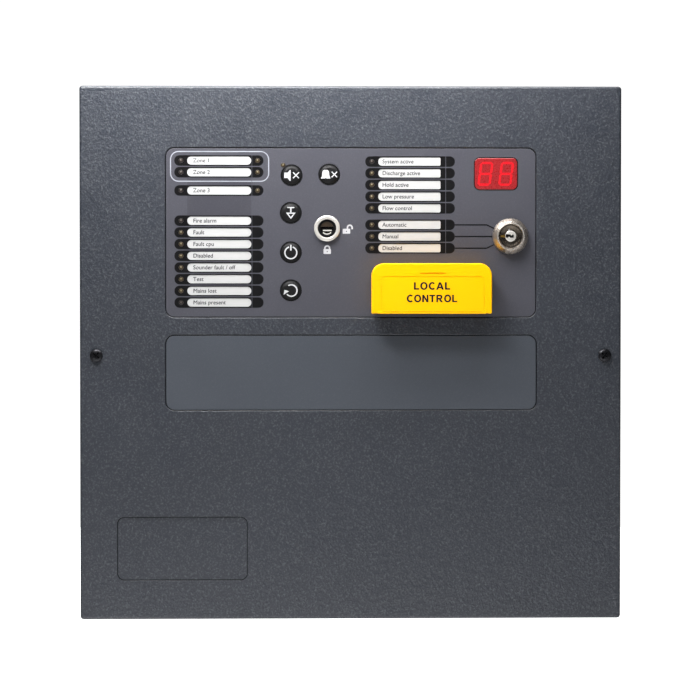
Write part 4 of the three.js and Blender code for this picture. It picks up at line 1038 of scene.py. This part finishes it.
# Chips as x, z, width, height and thickness, plugs the same, then the resistors' rows as
# count, width and height.
CHIPS = [(60, 31.5, 24, 24, 1.8), (100, 24.5, 14, 10, 2), (15, 16.5, 18, 12, 2)]
PLUGS = [(-33, 20, 10, 16, 10), (-22, -29, 22, 11, 10)]
FUSES = [25, 39, 53, 67]
CAPACITORS = [-21, -7, 7]
SPECKS = [(6, 2.6, 1.4), (5, 1.6, 0.9), (7, 3.2, 1.9)]
FUSE_Z, SOCKET_Z = -25, 60
TERMINAL_PITCH, TERMINAL_FRONT = 7.5, -23.6
RIBBON_X, RIBBON_W, RIBBON_CORES = 20.0, 33.0, 26
RIBBON_PATH = [(-67.1, 85), (-60.1, 85), (-54.1, 78), (-53.1, 40), (-52.1, -4), (-47.1, -11),
               (-41.9, -4), (-39.9, 30), (-35.9, 53), (-29.9, 60), (-20.9, 60)]


def add_chip(form, x, z, w, h, height):
    """A flat chip with its row of feet along both sides, on the main board."""
    form.slab(x, z, w, h, BOARD_Y - height, BOARD_Y + 0.1, 0.3, 0.15, 1)
    count = int(h / 1.6)
    for side in (-1, 1):
        for i in range(count):
            foot = rounded(x + side * (w / 2 + 0.6), z + (i - (count - 1) / 2) * 1.5, 1.5, 0.6, 0.05, 1)
            form.plate(foot, BOARD_Y - 0.5, BOARD_Y, mark=2)
    top = BOARD_Y - height
    form.plate(circle(x - w / 2 + 2, z + h / 2 - 2, 0.6, 12), top - 0.02, top + 0.1, mark=3)


def add_socket(form, x, z, outer, inner, height, floor, mark):
    """A socket on the main board, with a pit whose floor is that far above the board."""
    front = BOARD_Y - height
    block = form.loft(lambda off: rounded(x, z, *outer, 0.4, 3), [(0, BOARD_Y), (0, front)], mark)
    lip, pit = form.loft(lambda off: rounded(x, z, *inner, 0.3, 3),
                         [(0, front), (0, BOARD_Y - floor)], mark)
    form.fill(block[-1], [lip], mark)
    form.fill(pit, mark=mark)
    form.fill(block[0], mark=mark)


def add_fuse(form, x):
    """A fuse in its two clips."""
    form.slab(x, FUSE_Z, 6, 16, BOARD_Y - 2.5, BOARD_Y + 0.1, 0.4, 0.2, 1)
    half = [(2.2, 4.4), (2.5, 4.6), (2.5, 7.3), (2.3, 7.6), (0, 7.6)]
    tube = [(r, -along) for r, along in reversed(half)] + half
    form.rod(tube, (x, BOARD_Y - 5.2, FUSE_Z), "X", 20, 2)
    for end in (-6, 6):
        for side in (-2.7, 2.7):
            form.slab(x + side, FUSE_Z + end, 0.5, 2.4, BOARD_Y - 7.6, BOARD_Y - 2, 0.1, 0.1, 2, 1)


def add_specks(form):
    """Small resistors and capacitors in loose rows between the large parts."""
    for row, (count, w, h) in enumerate(SPECKS * 3):
        for i in range(count):
            x = -20 + i * 11.5 + (row * 37) % 19
            z = 92 - row * 9.3 - (i * 13 + row * 7) % 5
            covered = any(
                abs(x - cx) < cw / 2 + 4 and abs(z - cz) < ch / 2 + 3 for cx, cz, cw, ch, _ in CHIPS
            )
            if covered or abs(z - SOCKET_Z) < 7:
                continue
            mark = 1 if (i + row) % 3 else 5
            form.slab(x, z, w, h, BOARD_Y - 0.8, BOARD_Y + 0.05, 0.1, 0.06, mark, 1)


def make_main_board():
    form = Form()
    form.slab(BOARD_X, BOARD_Z, BOARD_W, BOARD_H, BOARD_Y, BOARD_Y + 1.6, 1.5, 0.15)
    for chip in CHIPS:
        add_chip(form, *chip)
    for x, z, w, h, height in PLUGS:
        add_socket(form, x, z, (w, h), (w - 2, h - 2), height, 2, 3)
        along = max(w, h) / 2 - 3
        for i in (-1, 0, 1):
            px, pz = (x + i * along, z) if w > h else (x, z + i * along)
            pin = rounded(px, pz, 1.1, 1.1, 0.1, 1)
            form.plate(pin, BOARD_Y - height + 1.5, BOARD_Y - 1.5, mark=2)
    for x in FUSES:
        add_fuse(form, x)
    can = [(0, 0), (4.7, 0), (5, -0.4), (5, -1.6), (4.75, -2.0), (5, -2.4), (5, -15.4), (4.7, -15.9)]
    can_top = [(0, -15.0), (4.1, -15.0), (4.1, -15.9), (3.9, -16), (0, -16)]
    can_x = BOARD_X + 60
    for z in CAPACITORS:
        form.lathe(can + [(4.1, -15.9)], can_x, z, BOARD_Y, 32, 4)
        form.lathe(can_top, can_x, z, BOARD_Y, 32, 2)
        score = bar(can_x - 2.4, z, can_x + 2.4, z, 0.25)
        form.plate(score, BOARD_Y - 16.04, BOARD_Y - 15.9, mark=1)
    add_socket(form, RIBBON_X, SOCKET_Z, (40, 9), (36, 6.2), 9, 4, 1)
    add_specks(form)
    screw = [(0, 0), (2.9, 0), (2.9, -0.9), (2.4, -1.6), (1.2, -1.9), (0, -1.95)]
    for number in range(1, 5):
        form.lathe(screw, *centre(f"main_board_standoff_{number}"), BOARD_Y, 28, 2)
    form.build("board_main", "back_box",
               [BOARD_GREEN, BLACK_PLASTIC, ZINC, PALE_PLASTIC, BLUE_PLASTIC, TAN_BEAD_AND_HIGHLIGHT],
               ["main_board"], "circuit_board")


def make_terminals():
    """The clamp screws of the terminal blocks, each with a slot."""
    form = Form()
    screw = [(0, 1.7), (1.6, 1.7), (1.6, 0.7), (1.4, 0.45), (0, 0.45)]
    for number in (1, 2, 3):
        x, z = centre(f"terminal_block_{number}")
        for i in range(6):
            place = x + (i - 2.5) * TERMINAL_PITCH
            form.lathe(screw, place, z - 1, TERMINAL_FRONT, 20)
            slot = bar(place - 1.3, z - 1.4, place + 1.3, z - 0.6, 0.45)
            form.plate(slot, TERMINAL_FRONT + 0.42, TERMINAL_FRONT + 0.7, mark=1)
    form.build("terminal_screws", "back_box", [ZINC, BLACK_PLASTIC])


def make_ribbon():
    """A flat cable of parallel cores, folded behind the cover so that the cover can come away."""
    path = [Vector(point) for point in RIBBON_PATH]
    for _ in range(3):
        corners = [path[0]]
        for a, b in zip(path, path[1:]):
            corners += [a.lerp(b, 0.25), a.lerp(b, 0.75)]
        path = [*corners, path[-1]]
    left, pitch, parts = RIBBON_X - RIBBON_W / 2, RIBBON_W / RIBBON_CORES, 4
    front = []
    for i in range(RIBBON_CORES * parts + 1):
        bulge = 0.3 + 0.085 * (1 - math.cos(2 * math.pi * i / parts))
        front.append((left + i * pitch / parts, bulge))
    section = front + [(x, -t) for x, t in reversed(front)]
    form = Form()
    rings = []
    for i, point in enumerate(path):
        along = (path[min(i + 1, len(path) - 1)] - path[max(i - 1, 0)]).normalized()
        start = len(form.points)
        form.points += [(x, point.x - along.y * t, point.y + along.x * t) for x, t in section]
        rings.append(range(start, len(form.points)))
    for a, b in zip(rings, rings[1:]):
        for j, (x, _) in enumerate(section):
            k = (j + 1) % len(section)
            in_first_core = (x + section[k][0]) / 2 < left + pitch
            form.face((a[j], a[k], b[k], b[j]), 1 if in_first_core else 0)
    for ring in (rings[0], rings[-1]):
        for j in range(len(front) - 1):
            form.face((ring[j], ring[j + 1], ring[-2 - j], ring[-1 - j]))
    data = form.mesh("ribbon", 60)
    data.materials.append(CABLE_GREY)
    data.materials.append(CABLE_RED)
    made = add_object("ribbon_fold", data)
    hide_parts("ribbon_cable")
    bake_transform(made)


# ---- CAD nodes that keep their shape ----


def dress(node, material, bevel=0.25):
    """Gives a CAD node its material, with rounded edges."""
    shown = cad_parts[node]
    shown.data.materials.clear()
    shown.data.materials.append(material)
    if bevel:
        rounding = shown.modifiers.new("edges", "BEVEL")
        rounding.width, rounding.segments = bevel * MM, 2
        rounding.limit_method, rounding.angle_limit = "ANGLE", math.radians(35)
    weigh_normals(shown)


make_cover()
make_overlay()
make_print()
make_cards()
make_leds()
make_display()
make_buttons()
make_access_lock()
make_mode_lock()
make_flap()
make_release()
make_screws()
make_box()
make_main_board()
make_terminals()
make_ribbon()

PLAIN = [
    (ZINC, ["screw_bracket_left", "screw_bracket_right", "battery_bar", "power_supply"]),
    (BOARD_GREEN, ["display_board"]),
    (GREY_PLASTIC, ["mains_terminal_block"]),
    (BRASS, ["earth_stud", "access_lock_nut", "mode_lock_nut"]),
    (BATTERY_CASE, ["battery_left", "battery_right"]),
    (BLUE_PLASTIC, ["relay_1", "relay_2"]),
    (GREEN_PLASTIC, ["terminal_block_1", "terminal_block_2", "terminal_block_3"]),
    (BLACK_PLASTIC, ["display_module", "buzzer", "mode_switch_block", "release_switch"]),
    (AMBER_LENS, ["light_guide_status", "light_guide_zone", "light_guide_system"]),
    (CABLE_RED, ["battery_lead_red", "battery_link_lead"]),
    (CABLE_BLACK, ["battery_lead_black", "supply_lead"]),
    (CABLE_GREY, ["mains_lead"]),
]
for finish, node_names in PLAIN:
    for node_name in node_names:
        dress(node_name, finish, 0 if "lead" in node_name else 0.2)
for number in range(1, 5):
    dress(f"main_board_standoff_{number}", ZINC)
    dress(f"display_board_standoff_{number}", ZINC)


# ---- Stage, light and world ----
FLOOR_Z = -0.33
FLOOR_RADIUS, FLOOR_THICKNESS = 2400, 12
FLOOR_GLOW = 0.45


def make_floor():
    disc, form = Form(), Form()
    disc.plate(circle(0, 0, FLOOR_RADIUS, 96), 0, FLOOR_THICKNESS)
    flat = Matrix.Rotation(math.radians(-90), 4, "X")
    form.add(disc, Matrix.Translation((0, 0, FLOOR_Z / MM)) @ flat)
    data = form.mesh("floor")
    white = surface("floor_white", "f7f7f7", 0.8, vary=0.004, patch=2, grain=0.01, bump=0.02)
    # The camera sees the floor a little brighter, so that its far edge fades into the backdrop.
    tree = white.node_tree
    shader = next(node for node in tree.nodes if node.type == "BSDF_PRINCIPLED")
    shader.inputs["Emission Color"].default_value = (1, 1, 1, 1)
    glow = tree.nodes.new("ShaderNodeMath")
    glow.operation = "MULTIPLY"
    glow.inputs[1].default_value = FLOOR_GLOW
    camera_ray = tree.nodes.new("ShaderNodeLightPath").outputs["Is Camera Ray"]
    tree.links.new(camera_ray, glow.inputs[0])
    tree.links.new(glow.outputs[0], shader.inputs["Emission Strength"])
    data.materials.append(white)
    add_object("floor", data)


def area_light(name, place, aim, width, height, power):
    data = bpy.data.lights.new(name, "AREA")
    data.shape, data.size, data.size_y, data.energy = "RECTANGLE", width, height, power
    lamp = add_object(name, data)
    lamp.location = place
    lamp.rotation_euler = (Vector(aim) - Vector(place)).to_track_quat("-Z", "Y").to_euler()
    lamp.visible_camera = False


def make_world():
    """White where the camera sees it, and a soft studio round the object for everything else."""
    world = bpy.data.worlds.new("studio")
    world.use_nodes = True
    nodes = Nodes(world.node_tree)
    where = nodes.add("ShaderNodeTexCoord").outputs["Generated"]
    split = nodes.add("ShaderNodeSeparateXYZ", {0: where}).outputs
    up = nodes.remap(split["Z"], 0.1, 0.6, 0.0, 1.0)
    light = nodes.mix(up, (0.05, 0.051, 0.053, 1), (0.3, 0.31, 0.32, 1))
    studio = nodes.add("ShaderNodeBackground", {"Color": light, "Strength": 1.0})
    white = nodes.add("ShaderNodeBackground", {"Color": (1, 1, 1, 1), "Strength": 1.1})
    camera_ray = nodes.add("ShaderNodeLightPath").outputs["Is Camera Ray"]
    both = nodes.add("ShaderNodeMixShader", {0: camera_ray, 1: studio.outputs[0], 2: white.outputs[0]})
    nodes.add("ShaderNodeOutputWorld", {"Surface": both.outputs[0]})
    bpy.context.scene.world = world


make_floor()
make_world()
# Each light's place, the point it faces, its width, height and power.
area_light("key", (-0.22, -0.42, 0.54), (0, -0.09, 0.05), 0.22, 0.09, 4.5)
area_light("top_strip", (-0.05, -0.16, 0.28), (-0.05, -0.088, 0.14), 0.35, 0.06, 2.1)
area_light("top_fill", (-0.05, -0.25, 0.33), (-0.05, -0.088, 0.14), 0.4, 0.1, 0.4)
area_light("low_strip", (-0.08, -0.36, -0.3), (-0.02, -0.09, -0.13), 0.6, 0.05, 0.65)
area_light("back_top", (0, 2.3, 2.2), (0, 2.3, 0), 4.0, 4.0, 140)
area_light("camera_card", (0.03, -1.9, 0.11), (0, -0.09, 0.05), 0.55, 0.32, 0.35)
bpy.context.scene.view_settings.view_transform = "Standard"
